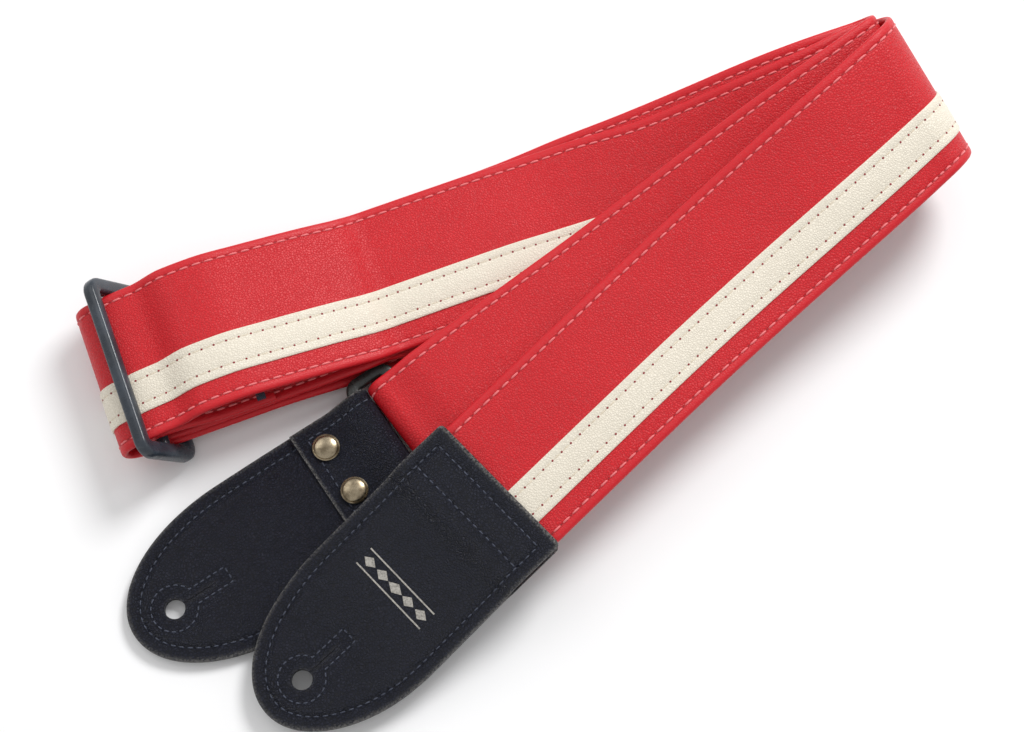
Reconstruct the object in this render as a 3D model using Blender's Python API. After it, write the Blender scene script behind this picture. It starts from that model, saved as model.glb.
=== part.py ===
"""A two inch guitar strap, folded flat in a zigzag, with leather end tabs, a slider and a ring."""

import math

import bmesh
import bpy
import numpy as np

# Every size is in millimetres here and becomes metres when a mesh is made.
MM = 0.001

# Strap band
STRAP_WIDTH = 50.8
STRAP_THICK = 2.2
STRAP_CHAMFER = 0.6
STRIPE_FROM = 3.1
STRIPE_TO = 16.7
STRIPE_THICK = 0.5
GAP = 0.3

# Directions of the three sets of runs in plan, in degrees, and the offset of each run's centre line
FRONT_ANGLE = 43.7
MIDDLE_ANGLE = 36.6
LEFT_ANGLE = 20.7
FRONT_OFFSET = -28.1
MIDDLE_OFFSET = -3.5
LEFT_OFFSET = 39.7
FIXED_SHIFT = 1.1
CROSSING = -28.5

# Fold radii at the strap's mid thickness, and the heights of the runs at the folds
OUTER_RADIUS = 12.5
MIDDLE_RADIUS = 5.7
INNER_RADIUS = 2.9
OUTER_LOW = 6.5
MIDDLE_LOW = 12.4
INNER_LOW = 15.2

# The folded end leans: its far edges are lifted about a line along the pile
LEAN_ANGLE = 15.0
LEAN_ALONG = 30.0
LEAN_PIVOT = -22.0
LEAN_HEIGHT = 20.0
LEAN_FROM = 30.0
LEAN_TO = 150.0

# Tabs
TAB_WIDTH = 53.6
TAB_LENGTH = 100.0
TAB_STRAIGHT = 54.0
PLY_THICK = 1.3
TIP_HALF_WIDTH = 4.0
BUTTON_HOLE_RADIUS = 3.3
BUTTON_HOLE_FROM_TIP = 15.0
SLIT_LENGTH = 15.0
SLIT_WIDTH = 0.9
FRONT_SEAM = -31.8
SEAM_HEIGHT = 18.7
TUCKED_IN = 18.0

# Rear tab and its loop strip, measured along the rear tab's own direction
REAR_ANGLE = 33.8
REAR_TIP = -146.5
REAR_OFFSET = -5.9
REAR_MIDDLE = 3.35
REAR_PLY_END = -59.3
LOOP_START = -72.1
LOOP_THICK = 1.4
RIVET_AT = -64.2
RIVET_SPACING = 17.0
RIVET_CAP_RADIUS = 4.5
RIVET_CAP_HEIGHT = 2.2
RIVET_POST_RADIUS = 1.4

# Ring: a rectangular plastic loop lying flat between the strap's turn and the rear tab's loop
RING_LENGTH = 63.0
RING_WIDTH = 17.8
RING_BAR = 4.5
RING_END_BAR = 4.0
RING_THICK = 3.4
RING_CORNER = 5.0
RING_MIDDLE = -40.65
RING_OFFSET = -5.8
RING_HEIGHT = 6.0
RING_TURN_RADIUS = 4.5
RING_TURN_AT = -36.5
RING_TURN_HEIGHT = 7.2

# Slider: a three bar plastic slide, tilted between the runs that pass through it
SLIDER_LENGTH = 63.6
SLIDER_BAR_SPACING = 12.0
SLIDER_BAR = 4.0
SLIDER_THICK = 4.4
SLIDER_CORNER = 5.5
SLIDER_END_BAR = 5.4
SLIDER_TILT = 61.0
SLIDER_AT = -112.7
SLIDER_SHIFT = 0.55
SLIDER_HEIGHT = 12.3
CENTRE_BAR = 3.6
TOOTH_COUNT = 20
TOOTH_DEPTH = 0.7
SLIDER_TURN_BACK = 7.0
BOTTOM_AT_SLIDER = 6.5
TOP_AT_SLIDER = 18.0
LOOP_RADIUS = 3.3
FLAP_LENGTH = 38.0

MATERIALS = {
    "red_vinyl": (0.55, 0.03, 0.04, 0.45, 0.0),
    "cream_vinyl": (0.82, 0.77, 0.66, 0.5, 0.0),
    "black_leather": (0.02, 0.02, 0.025, 0.6, 0.0),
    "slider_plastic": (0.06, 0.08, 0.1, 0.4, 0.0),
    "ring_plastic": (0.035, 0.04, 0.038, 0.4, 0.0),
    "aged_brass": (0.45, 0.33, 0.16, 0.3, 1.0),
}


def clear_scene():
    for thing in list(bpy.data.objects):
        bpy.data.objects.remove(thing, do_unlink=True)


def material(name):
    found = bpy.data.materials.get(name)
    if found:
        return found
    red, green, blue, rough, metal = MATERIALS[name]
    made = bpy.data.materials.new(name)
    made.use_nodes = True
    shader = made.node_tree.nodes["Principled BSDF"]
    shader.inputs["Base Color"].default_value = (red, green, blue, 1.0)
    shader.inputs["Roughness"].default_value = rough
    shader.inputs["Metallic"].default_value = metal
    made.diffuse_color = (red, green, blue, 1.0)
    return made


def node_material(node, slot):
    """Each node keeps a material of its own, coloured like its slot."""
    red, green, blue, rough, metal = MATERIALS[slot]
    made = material(slot).copy()
    made.name = node + "_" + slot
    shader = made.node_tree.nodes["Principled BSDF"]
    shader.inputs["Roughness"].default_value = rough
    return made


def mesh_object(name, points, faces, slot):
    mesh = bpy.data.meshes.new(name)
    mesh.from_pydata([tuple(float(c) * MM for c in p) for p in points], [], faces)
    work = bmesh.new()
    work.from_mesh(mesh)
    bmesh.ops.remove_doubles(work, verts=work.verts, dist=0.000001)
    bmesh.ops.recalc_face_normals(work, faces=work.faces)
    bmesh.ops.triangulate(work, faces=work.faces)
    work.to_mesh(mesh)
    work.free()
    thing = bpy.data.objects.new(name, mesh)
    bpy.context.scene.collection.objects.link(thing)
    if slot:
        mesh.materials.append(node_material(name, slot))
    return thing


def boolean(thing, cutter, operation):
    change = thing.modifiers.new("change", "BOOLEAN")
    change.operation = operation
    change.solver = "EXACT"
    change.object = cutter
    graph = bpy.context.evaluated_depsgraph_get()
    done = bpy.data.meshes.new_from_object(thing.evaluated_get(graph))
    thing.modifiers.clear()
    old = thing.data
    thing.data = done
    bpy.data.meshes.remove(old)
    bpy.data.objects.remove(cutter, do_unlink=True)
    work = bmesh.new()
    work.from_mesh(thing.data)
    bmesh.ops.dissolve_degenerate(work, edges=work.edges, dist=0.000001)
    bmesh.ops.triangulate(work, faces=work.faces)
    work.to_mesh(thing.data)
    work.free()


def along(angle):
    turn = math.radians(angle)
    return np.array([math.cos(turn), math.sin(turn), 0.0])


def across(angle):
    turn = math.radians(angle)
    return np.array([-math.sin(turn), math.cos(turn), 0.0])


UP = np.array([0.0, 0.0, 1.0])


def plan_point(angle, offset, distance):
    return along(angle) * distance + across(angle) * offset


def smooth_heights(knots, distance):
    """Height at a distance from knots of (distance, height), level at both ends, with no overshoot."""
    places = [k[0] for k in knots]
    heights = [k[1] for k in knots]
    steps = np.diff(places)
    slopes = np.diff(heights) / steps
    tangents = [0.0]
    for before, after in zip(slopes[:-1], slopes[1:]):
        both = before * after
        tangents.append(2.0 * both / (before + after) if both > 0 else 0.0)
    tangents.append(0.0)
    part = min(max(int(np.searchsorted(places, distance)) - 1, 0), len(steps) - 1)
    size = steps[part]
    u = min(max((distance - places[part]) / size, 0.0), 1.0)
    a = heights[part] * (1 + 2 * u) * (1 - u) ** 2
    b = tangents[part] * size * u * (1 - u) ** 2
    c = heights[part + 1] * u * u * (3 - 2 * u)
    d = tangents[part + 1] * size * u * u * (u - 1)
    return a + b + c + d


NO_DRIFT = ((0.0, 0.0), (1.0, 0.0))


def run_stations(
    angle, offset, start, end, knots, face_up, start_skew=0.0, end_skew=0.0, count=26, drift=NO_DRIFT
):
    """Stations of a run: centre, face normal and ruling per mm across. Drift bows a straight run in plan."""
    heading = 1.0 if end > start else -1.0
    stations = []
    for place in np.linspace(start, end, count):
        low = smooth_heights(knots, place - 0.01)
        high = smooth_heights(knots, place + 0.01)
        slope = (high - low) / 0.02
        ahead = along(angle) * heading + UP * slope * heading
        ahead = ahead / np.linalg.norm(ahead)
        side = across(angle)
        normal = np.cross(along(angle) + UP * slope, side)
        normal = normal / np.linalg.norm(normal) * (1.0 if face_up else -1.0)
        right = np.cross(ahead, normal)
        aside = offset + smooth_heights(drift, place)
        centre = plan_point(angle, aside, place) + UP * smooth_heights(knots, place)
        blend_in = max(0.0, 1.0 - abs(place - start) / 14.0)
        blend_out = max(0.0, 1.0 - abs(place - end) / 14.0)
        skew = start_skew * blend_in + end_skew * blend_out
        ruling = right - ahead * math.tan(math.radians(skew))
        stations.append((centre, normal, ruling))
    return stations


def fold_stations(entry, bisector, low, radius, skew, falling, face_out, turn=math.pi, count=22):
    """Stations around a part cylinder. The band enters at the axis's plan line and wraps as a helix."""
    out = along(bisector)
    axis = across(bisector)
    tangent = math.tan(math.radians(skew))
    stations = []
    for sweep in np.linspace(0.0, turn, count):
        start_up = 1.0 if falling else -1.0
        radial = out * math.sin(sweep) + UP * math.cos(sweep) * start_up
        ahead = out * math.cos(sweep) - UP * math.sin(sweep) * start_up
        centre = entry + axis * radius * sweep * tangent
        centre = np.array([centre[0], centre[1], 0.0]) + UP * (low + radius) + radial * radius
        normal = radial if face_out else -radial
        right = np.cross(ahead, normal)
        lean = np.sign(np.dot(right, axis))
        ruling = axis * lean / math.cos(math.radians(skew))
        stations.append((centre, normal, ruling))
    return stations


def section(left, right, low, high, chamfer, parts=1):
    """An outline across a band, with its corners cut off and its two faces in equal parts."""
    inside = list(np.linspace(left + chamfer, right - chamfer, parts + 1))
    outline = [(left, low + chamfer)]
    outline.extend((place, low) for place in inside)
    outline.append((right, low + chamfer))
    outline.append((right, high - chamfer))
    outline.extend((place, high) for place in reversed(inside))
    outline.append((left, high - chamfer))
    return outline


def lean(point):
    """Turn a point about the pivot line, by an angle that grows along the pile to the folded end."""
    ahead = along(LEAN_ALONG)
    side = across(LEAN_ALONG)
    part = (np.dot(point, ahead) - LEAN_FROM) / (LEAN_TO - LEAN_FROM)
    part = min(max(part, 0.0), 1.0)
    turn = math.radians(LEAN_ANGLE) * part * part * (3 - 2 * part)
    reach = np.dot(point, side) - LEAN_PIVOT
    above = point[2] - LEAN_HEIGHT
    new_reach = reach * math.cos(turn) - above * math.sin(turn)
    height = reach * math.sin(turn) + above * math.cos(turn)
    moved = point + side * (new_reach - reach)
    return np.array([moved[0], moved[1], height + LEAN_HEIGHT])


def band_object(name, stations, outline, slot):
    """A closed band: the outline (across, out) carried along the stations."""
    points = []
    for place, station in enumerate(stations):
        shape = outline(place) if callable(outline) else outline
        centre, normal, ruling = station
        points.extend(lean(centre + ruling * t + normal * n) for t, n in shape)
    size = len(points) // len(stations)
    faces = []
    for row in range(len(stations) - 1):
        for k in range(size):
            m = (k + 1) % size
            a = row * size
            b = a + size
            faces.append((a + k, a + m, b + m, b + k))
    faces.append(tuple(range(size)))
    last = (len(stations) - 1) * size
    faces.append(tuple(last + k for k in range(size)))
    return mesh_object(name, points, faces, slot)


def trimmed(stations, start, end):
    """Pull the first and last stations in, so that neighbouring lengths keep a small gap."""
    result = list(stations)
    for here, near, trim in ((0, 1, start), (-1, -2, end)):
        gap = np.linalg.norm(result[near][0] - result[here][0])
        part = trim / gap
        mixed = tuple(a * (1 - part) + b * part for a, b in zip(result[here], result[near]))
        result[here] = mixed
    return result


def strap_length(name, stations, stripe=True, stripe_from=0, parts=1):
    half = STRAP_WIDTH / 2
    thick = STRAP_THICK / 2
    body = section(-half, half, -thick, thick, STRAP_CHAMFER, parts)
    kept = trimmed(stations, GAP / 2, GAP / 2)
    band_object(name, kept, body, "red_vinyl")
    if stripe:
        low = thick + GAP
        outline = section(STRIPE_FROM, STRIPE_TO, low, low + STRIPE_THICK, 0.15)
        band_object(name + "_stripe", kept[: len(kept) - stripe_from], outline, "cream_vinyl")


def line_in_fold(angle, offset, bisector, place):
    """Distance along a plan line at which it meets the fold axis, and its position there."""
    out = along(bisector)
    distance = (place - np.dot(across(angle) * offset, out)) / np.dot(along(angle), out)
    return distance, plan_point(angle, offset, distance)


def fold_place(angle_a, offset_a, angle_b, offset_b, bisector, shift):
    """Where the fold axis sits so that line b lies `shift` further along the axis than line a."""

    def lead(place):
        first = line_in_fold(angle_a, offset_a, bisector, place)[1]
        second = line_in_fold(angle_b, offset_b, bisector, place)[1]
        return np.dot(second - first, across(bisector)) - shift

    low = lead(0.0)
    rate = lead(1.0) - low
    return -low / rate


def build_strap():
    outer_bisector = (FRONT_ANGLE + LEFT_ANGLE) / 2
    outer_skew = (FRONT_ANGLE - LEFT_ANGLE) / 2
    inner_bisector = (MIDDLE_ANGLE + LEFT_ANGLE) / 2
    inner_skew = (MIDDLE_ANGLE - LEFT_ANGLE) / 2
    outer_rise = math.tan(math.radians(outer_skew)) * math.pi
    inner_rise = math.tan(math.radians(inner_skew)) * math.pi
    outer_at = fold_place(
        FRONT_ANGLE, FRONT_OFFSET, LEFT_ANGLE, LEFT_OFFSET, outer_bisector, outer_rise * OUTER_RADIUS
    )
    inner_at = fold_place(
        MIDDLE_ANGLE, MIDDLE_OFFSET, LEFT_ANGLE, LEFT_OFFSET, inner_bisector, inner_rise * INNER_RADIUS
    )
    fixed_offset = LEFT_OFFSET + FIXED_SHIFT
    middle_at = fold_place(
        MIDDLE_ANGLE, MIDDLE_OFFSET, LEFT_ANGLE, fixed_offset, inner_bisector, inner_rise * MIDDLE_RADIUS
    )
    print("fold axes", outer_at, inner_at, middle_at)

    front_end, front_entry = line_in_fold(FRONT_ANGLE, FRONT_OFFSET, outer_bisector, outer_at)
    bottom_start, _ = line_in_fold(LEFT_ANGLE, LEFT_OFFSET, outer_bisector, outer_at)
    top_end, top_entry = line_in_fold(LEFT_ANGLE, LEFT_OFFSET, inner_bisector, inner_at)
    lower_start, _ = line_in_fold(MIDDLE_ANGLE, MIDDLE_OFFSET, inner_bisector, inner_at)
    upper_end, upper_entry = line_in_fold(MIDDLE_ANGLE, MIDDLE_OFFSET, inner_bisector, middle_at)
    fixed_start, _ = line_in_fold(LEFT_ANGLE, fixed_offset, inner_bisector, middle_at)
    turn_at = SLIDER_AT - SLIDER_TURN_BACK

    front_high = OUTER_LOW + 2 * OUTER_RADIUS
    front_knots = [
        (FRONT_SEAM - 40.0, 14.5),
        (FRONT_SEAM, SEAM_HEIGHT),
        (20.0, 24.0),
        (80.0, 28.5),
        (front_end - 16.0, front_high),
        (front_end, front_high),
    ]
    front = run_stations(
        FRONT_ANGLE, FRONT_OFFSET, FRONT_SEAM, front_end, front_knots, True, 0.0, outer_skew
    )
    strap_length("front_run", front, parts=4)
    tucked = run_stations(
        FRONT_ANGLE, FRONT_OFFSET, FRONT_SEAM - TUCKED_IN, FRONT_SEAM, front_knots, True, count=8
    )
    strap_length("front_end", tucked)

    fold = fold_stations(
        front_entry, outer_bisector, OUTER_LOW, OUTER_RADIUS, outer_skew, True, True, count=25
    )
    strap_length("outer_fold", fold, parts=2)

    bottom_knots = [
        (turn_at, BOTTOM_AT_SLIDER),
        (SLIDER_AT + 36.0, BOTTOM_AT_SLIDER),
        (SLIDER_AT + 76.0, 2.3),
        (bottom_start - 85.0, 2.3),
        (bottom_start - 14.0, OUTER_LOW),
        (bottom_start, OUTER_LOW),
    ]
    bottom = run_stations(
        LEFT_ANGLE, LEFT_OFFSET, bottom_start, turn_at, bottom_knots, False, outer_skew, 0.0, 36
    )
    strap_length("bottom_run", bottom, parts=4)

    turn_radius = (TOP_AT_SLIDER - BOTTOM_AT_SLIDER) / 2
    turn = fold_stations(
        plan_point(LEFT_ANGLE, LEFT_OFFSET, turn_at),
        LEFT_ANGLE + 180.0,
        BOTTOM_AT_SLIDER,
        turn_radius,
        0.0,
        False,
        True,
        count=19,
    )
    strap_length("slider_turn", turn)

    top_knots = [
        (turn_at, TOP_AT_SLIDER),
        (SLIDER_AT + 6.0, TOP_AT_SLIDER),
        (SLIDER_AT + 17.0, 22.3),
        (SLIDER_AT + 27.0, 22.9),
        (SLIDER_AT + 42.0, 20.4),
        (CROSSING - 10.0, 12.7),
        (CROSSING - 1.0, 8.3),
        (top_end - 75.0, 8.6),
        (top_end - 14.0, INNER_LOW),
        (top_end, INNER_LOW),
    ]
    top_drift = [
        (turn_at, 0.0),
        (SLIDER_AT - 2.0, 0.9),
        (SLIDER_AT + 14.0, 1.8),
        (CROSSING - 11.0, 1.9),
        (CROSSING - 1.0, 3.2),
        (CROSSING + 38.0, 3.1),
        (top_end - 106.0, 1.5),
        (top_end - 76.0, -2.4),
        (top_end - 49.0, -3.2),
        (top_end - 27.0, -2.6),
        (top_end, 0.0),
    ]
    top = run_stations(
        LEFT_ANGLE, LEFT_OFFSET, turn_at, top_end, top_knots, True, 0.0, -inner_skew, 36, drift=top_drift
    )
    strap_length("top_run", top, parts=4)

    inner = fold_stations(
        top_entry, inner_bisector, INNER_LOW, INNER_RADIUS, -inner_skew, False, False, count=19
    )
    strap_length("inner_fold", inner, parts=2)

    lower_high = INNER_LOW + 2 * INNER_RADIUS
    lower_ring = RING_TURN_HEIGHT - RING_TURN_RADIUS
    lower_knots = [
        (RING_TURN_AT, lower_ring),
        (RING_TURN_AT + 5.3, lower_ring + 0.2),
        (RING_TURN_AT + 13.0, 11.9),
        (RING_TURN_AT + 34.0, 12.2),
        (RING_TURN_AT + 60.0, 13.6),
        (RING_TURN_AT + 120.0, 16.5),
        (lower_start - 14.0, lower_high),
        (lower_start, lower_high),
    ]
    lower = run_stations(
        MIDDLE_ANGLE, MIDDLE_OFFSET, lower_start, RING_TURN_AT, lower_knots, False, -inner_skew, 0.0, 36
    )
    strap_length("lower_middle_run", lower, parts=4)

    ring_turn = fold_stations(
        plan_point(MIDDLE_ANGLE, MIDDLE_OFFSET, RING_TURN_AT),
        MIDDLE_ANGLE + 180.0,
        lower_ring,
        RING_TURN_RADIUS,
        0.0,
        False,
        True,
        count=19,
    )
    strap_length("ring_turn", ring_turn)

    upper_ring = RING_TURN_HEIGHT + RING_TURN_RADIUS
    upper_high = MIDDLE_LOW + 2 * MIDDLE_RADIUS
    upper_knots = [
        (RING_TURN_AT, upper_ring),
        (RING_TURN_AT + 13.0, 14.7),
        (RING_TURN_AT + 34.0, 16.0),
        (RING_TURN_AT + 60.0, 17.6),
        (RING_TURN_AT + 120.0, 21.0),
        (upper_end - 14.0, upper_high),
        (upper_end, upper_high),
    ]
    upper = run_stations(
        MIDDLE_ANGLE, MIDDLE_OFFSET, RING_TURN_AT, upper_end, upper_knots, True, 0.0, inner_skew, 36
    )
    strap_length("upper_middle_run", upper, parts=4)

    middle = fold_stations(
        upper_entry, inner_bisector, MIDDLE_LOW, MIDDLE_RADIUS, inner_skew, True, True, count=21
    )
    strap_length("middle_fold", middle, parts=2)

    loop_low = SLIDER_HEIGHT - LOOP_RADIUS
    fixed_end = SLIDER_AT + FLAP_LENGTH + 6.0
    fixed_knots = [
        (SLIDER_AT, loop_low),
        (SLIDER_AT + 44.0, loop_low + 0.2),
        (CROSSING - 20.0, 9.4),
        (CROSSING - 10.0, 9.1),
        (CROSSING - 1.0, 5.65),
        (fixed_start - 75.0, 5.9),
        (fixed_start - 14.0, MIDDLE_LOW),
        (fixed_start, MIDDLE_LOW),
    ]
    fixed_drift = [
        (CROSSING - 20.0, 0.0),
        (CROSSING, 1.2),
        (CROSSING + 38.0, 3.0),
        (fixed_start - 110.0, 3.6),
        (fixed_start - 80.0, 1.9),
        (fixed_start - 50.0, 0.6),
        (fixed_start, 0.0),
    ]
    fixed = run_stations(
        LEFT_ANGLE, fixed_offset, fixed_start, fixed_end, fixed_knots, False, inner_skew, 0.0, 34, drift=fixed_drift
    )
    strap_length("fixed_run", fixed, stripe_from=3, parts=4)

    build_end_loop(fixed_offset, fixed_knots, fixed_end)


def build_end_loop(offset, knots, fixed_end):
    """The fixed end: along the bottom, round the slider's centre bar and back on top as a sewn flap."""
    low = SLIDER_HEIGHT - LOOP_RADIUS
    high = SLIDER_HEIGHT + LOOP_RADIUS
    stations = run_stations(LEFT_ANGLE, offset, fixed_end, SLIDER_AT, knots, False, count=14)
    around = fold_stations(
        plan_point(LEFT_ANGLE, offset, SLIDER_AT), LEFT_ANGLE + 180.0, low, LOOP_RADIUS, 0.0, False, True
    )
    stations = stations[:-1] + around
    flap_knots = [
        (SLIDER_AT, high),
        (SLIDER_AT + 5.0, high - 0.1),
        (SLIDER_AT + 22.0, low + 2.8),
        (SLIDER_AT + FLAP_LENGTH, low + 2.55),
    ]
    flap = run_stations(
        LEFT_ANGLE, offset, SLIDER_AT, SLIDER_AT + FLAP_LENGTH, flap_knots, True, count=14
    )
    stations = stations + flap[1:]
    strap_length("end_loop", stations, stripe=False)


def tab_half_width(from_tip):
    length = TAB_LENGTH - TAB_STRAIGHT
    if from_tip >= length:
        return TAB_WIDTH / 2
    left = 1.0 - from_tip / length
    return max(TAB_WIDTH / 2 * math.sqrt(max(0.0, 1.0 - left * left)), TIP_HALF_WIDTH)


def tab_places(tip, end):
    """Distances along a tab, close together where the outline curves to the tip."""
    length = TAB_LENGTH - TAB_STRAIGHT
    start = length * (1.0 - math.sqrt(1.0 - (2 * TIP_HALF_WIDTH / TAB_WIDTH) ** 2))
    lean = math.acos(1.0 - start / length)
    curve = [tip + length * (1.0 - math.cos(a)) for a in np.linspace(lean, math.pi / 2, 20)]
    return curve + list(np.linspace(curve[-1], end, 12)[1:])


def tab_ply(name, angle, offset, tip, end, knots, spread, side):
    """One leather ply of a tab, wide at its end and rounded to its tip, before the keyhole is cut."""
    places = tab_places(tip, end)
    stations = []
    for place in places:
        low, middle, high = (
            smooth_heights(knots, p) + side * smooth_heights(spread, p)
            for p in (place - 0.01, place, place + 0.01)
        )
        normal = np.cross(along(angle) + UP * (high - low) / 0.02, across(angle))
        normal = normal / np.linalg.norm(normal)
        stations.append((plan_point(angle, offset, place) + UP * middle, normal, -across(angle)))
    thick = PLY_THICK / 2

    def outline(row):
        half = tab_half_width(places[row] - tip)
        return section(-half, half, -thick, thick, 0.3)

    return band_object(name, stations, outline, "black_leather")


def prism(name, outline, origin, x_axis, y_axis, z_axis, low, high, slot=None):
    points = []
    for level in (low, high):
        points.extend(origin + x_axis * x + y_axis * y + z_axis * level for x, y in outline)
    size = len(outline)
    faces = [(k, (k + 1) % size, size + (k + 1) % size, size + k) for k in range(size)]
    faces.append(tuple(range(size)))
    faces.append(tuple(size + k for k in range(size)))
    return mesh_object(name, points, faces, slot)


def circle_outline(radius, count=32):
    return [(radius * math.cos(a), radius * math.sin(a)) for a in np.linspace(0, math.tau, count + 1)[:-1]]


def cut_keyhole(thing, angle, offset, tip):
    """A round button hole with a slit running from it towards the strap."""
    centre = plan_point(angle, offset, tip + BUTTON_HOLE_FROM_TIP)
    half = SLIT_WIDTH / 2
    lean = math.asin(half / BUTTON_HOLE_RADIUS)
    outline = [(SLIT_LENGTH, half)]
    for turn in np.linspace(lean, math.tau - lean, 33):
        outline.append((BUTTON_HOLE_RADIUS * math.cos(turn), BUTTON_HOLE_RADIUS * math.sin(turn)))
    outline.append((SLIT_LENGTH, -half))
    cutter = prism("cutter", outline, centre, along(angle), across(angle), UP, -5.0, 30.0)
    cutter.hide_render = True
    cutter.display_type = "WIRE"
    boolean(thing, cutter, "DIFFERENCE")


def build_front_tab():
    tip = FRONT_SEAM - TAB_LENGTH
    strap_end = FRONT_SEAM - TUCKED_IN
    knots = [
        (tip, 5.6),
        (tip + 26.0, 5.6),
        (tip + 48.0, 9.2),
        (tip + 66.0, 13.2),
        (strap_end, 16.7),
        (FRONT_SEAM, SEAM_HEIGHT),
        (FRONT_SEAM + 40.0, 22.5),
    ]
    closed = PLY_THICK / 2 + 0.15
    over_stripe = STRAP_THICK / 2 + GAP + STRIPE_THICK + GAP + PLY_THICK / 2 + 0.1
    under_strap = STRAP_THICK / 2 + GAP + PLY_THICK / 2 + 0.25
    for name, opened, side in (("front_tab_top", over_stripe, 1.0), ("front_tab_bottom", under_strap, -1.0)):
        spread = [(tip, closed), (strap_end - 7.0, closed), (strap_end - 0.7, opened), (FRONT_SEAM, opened)]
        ply = tab_ply(name, FRONT_ANGLE, FRONT_OFFSET, tip, FRONT_SEAM, knots, spread, side)
        cut_keyhole(ply, FRONT_ANGLE, FRONT_OFFSET, tip)


def build_rear_tab():
    knots = [
        (REAR_TIP, 2.0),
        (REAR_TIP + 30.0, 2.0),
        (LOOP_START - 12.0, 3.2),
        (LOOP_START, REAR_MIDDLE),
        (REAR_PLY_END, REAR_MIDDLE),
    ]
    spread = [(REAR_TIP, PLY_THICK / 2 + 0.15), (REAR_PLY_END, PLY_THICK / 2 + 0.15)]
    plies = []
    for name, side in (("rear_tab_top", 1.0), ("rear_tab_bottom", -1.0)):
        ply = tab_ply(name, REAR_ANGLE, REAR_OFFSET, REAR_TIP, REAR_PLY_END, knots, spread, side)
        cut_keyhole(ply, REAR_ANGLE, REAR_OFFSET, REAR_TIP)
        plies.append(ply)
    plies.append(build_loop_strip())
    for ply in plies:
        for spot in (-1, 0, 1):
            cut_post_hole(ply, spot)
    for number, spot in enumerate((-1, 0, 1), start=1):
        build_rivet(number, spot)


def loop_levels():
    """Heights of the loop strip above and below the tab's two plies."""
    reach = PLY_THICK + 0.15 + GAP + LOOP_THICK / 2
    return REAR_MIDDLE - reach, REAR_MIDDLE + reach


def build_loop_strip():
    bar_at = RING_MIDDLE - (RING_WIDTH - RING_BAR) / 2
    radius = RING_BAR / 2 + GAP + LOOP_THICK / 2 + 0.25
    low, high = loop_levels()
    flat_to = RIVET_AT + RIVET_CAP_RADIUS + 0.8
    upper_knots = [
        (LOOP_START, high),
        (flat_to, high),
        (bar_at, RING_HEIGHT + radius),
        (bar_at + 1.0, RING_HEIGHT + radius),
    ]
    lower_knots = [
        (LOOP_START, low),
        (flat_to, low),
        (bar_at, RING_HEIGHT - radius),
        (bar_at + 1.0, RING_HEIGHT - radius),
    ]
    upper = run_stations(REAR_ANGLE, REAR_OFFSET, LOOP_START, bar_at, upper_knots, True, count=20)
    around = fold_stations(
        plan_point(REAR_ANGLE, REAR_OFFSET, bar_at), REAR_ANGLE, RING_HEIGHT - radius, radius, 0.0,
        True, True, count=17,
    )
    lower = run_stations(REAR_ANGLE, REAR_OFFSET, bar_at, LOOP_START, lower_knots, False, count=20)
    stations = upper[:-1] + around + lower[1:]
    half = TAB_WIDTH / 2
    thick = LOOP_THICK / 2
    outline = section(-half, half, -thick, thick, 0.3)
    return band_object("rear_loop_strip", stations, outline, "black_leather")


def cut_post_hole(thing, spot):
    centre = plan_point(REAR_ANGLE, REAR_OFFSET + spot * RIVET_SPACING, RIVET_AT)
    outline = circle_outline(RIVET_POST_RADIUS + GAP, 12)
    cutter = prism("cutter", outline, centre, along(0), across(0), UP, -5.0, 30.0)
    cutter.hide_render = True
    cutter.display_type = "WIRE"
    boolean(thing, cutter, "DIFFERENCE")


def turned_object(name, profile, origin, slot, count=32):
    """A solid of revolution about a vertical axis; the profile runs from the axis out and back."""
    points = [origin + UP * profile[0][1]]
    for radius, height in profile[1:-1]:
        points.extend(origin + UP * height + np.array([x, y, 0.0]) for x, y in circle_outline(radius, count))
    points.append(origin + UP * profile[-1][1])
    rings = len(profile) - 2
    last = len(points) - 1
    faces = [(0, 1 + k, 1 + (k + 1) % count) for k in range(count)]
    for row in range(rings - 1):
        a = 1 + row * count
        b = a + count
        faces.extend((a + k, a + (k + 1) % count, b + (k + 1) % count, b + k) for k in range(count))
    end = 1 + (rings - 1) * count
    faces.extend((last, end + (k + 1) % count, end + k) for k in range(count))
    return mesh_object(name, points, faces, slot)


def build_rivet(number, spot):
    centre = plan_point(REAR_ANGLE, REAR_OFFSET + spot * RIVET_SPACING, RIVET_AT)
    low, high = loop_levels()
    base = high + LOOP_THICK / 2 + GAP
    foot = low - LOOP_THICK / 2 + 0.1
    profile = [(0.0, foot), (RIVET_POST_RADIUS, foot), (RIVET_POST_RADIUS, base), (RIVET_CAP_RADIUS, base)]
    for lean in np.linspace(0.15, 1.0, 7)[:-1]:
        turn = lean * math.pi / 2
        profile.append((RIVET_CAP_RADIUS * math.cos(turn * 0.98), base + RIVET_CAP_HEIGHT * math.sin(turn)))
    profile.append((0.0, base + RIVET_CAP_HEIGHT))
    turned_object(f"rivet_{number}", profile, centre, "aged_brass")


def rounded_rectangle(length, width, corner, steps=6):
    outline = []
    for sx, sy, start in ((1, 1, 0), (-1, 1, 90), (-1, -1, 180), (1, -1, 270)):
        for turn in np.linspace(start, start + 90, steps):
            angle = math.radians(turn)
            x = sx * (length / 2 - corner) + corner * math.cos(angle)
            y = sy * (width / 2 - corner) + corner * math.sin(angle)
            outline.append((x, y))
    return outline


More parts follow.
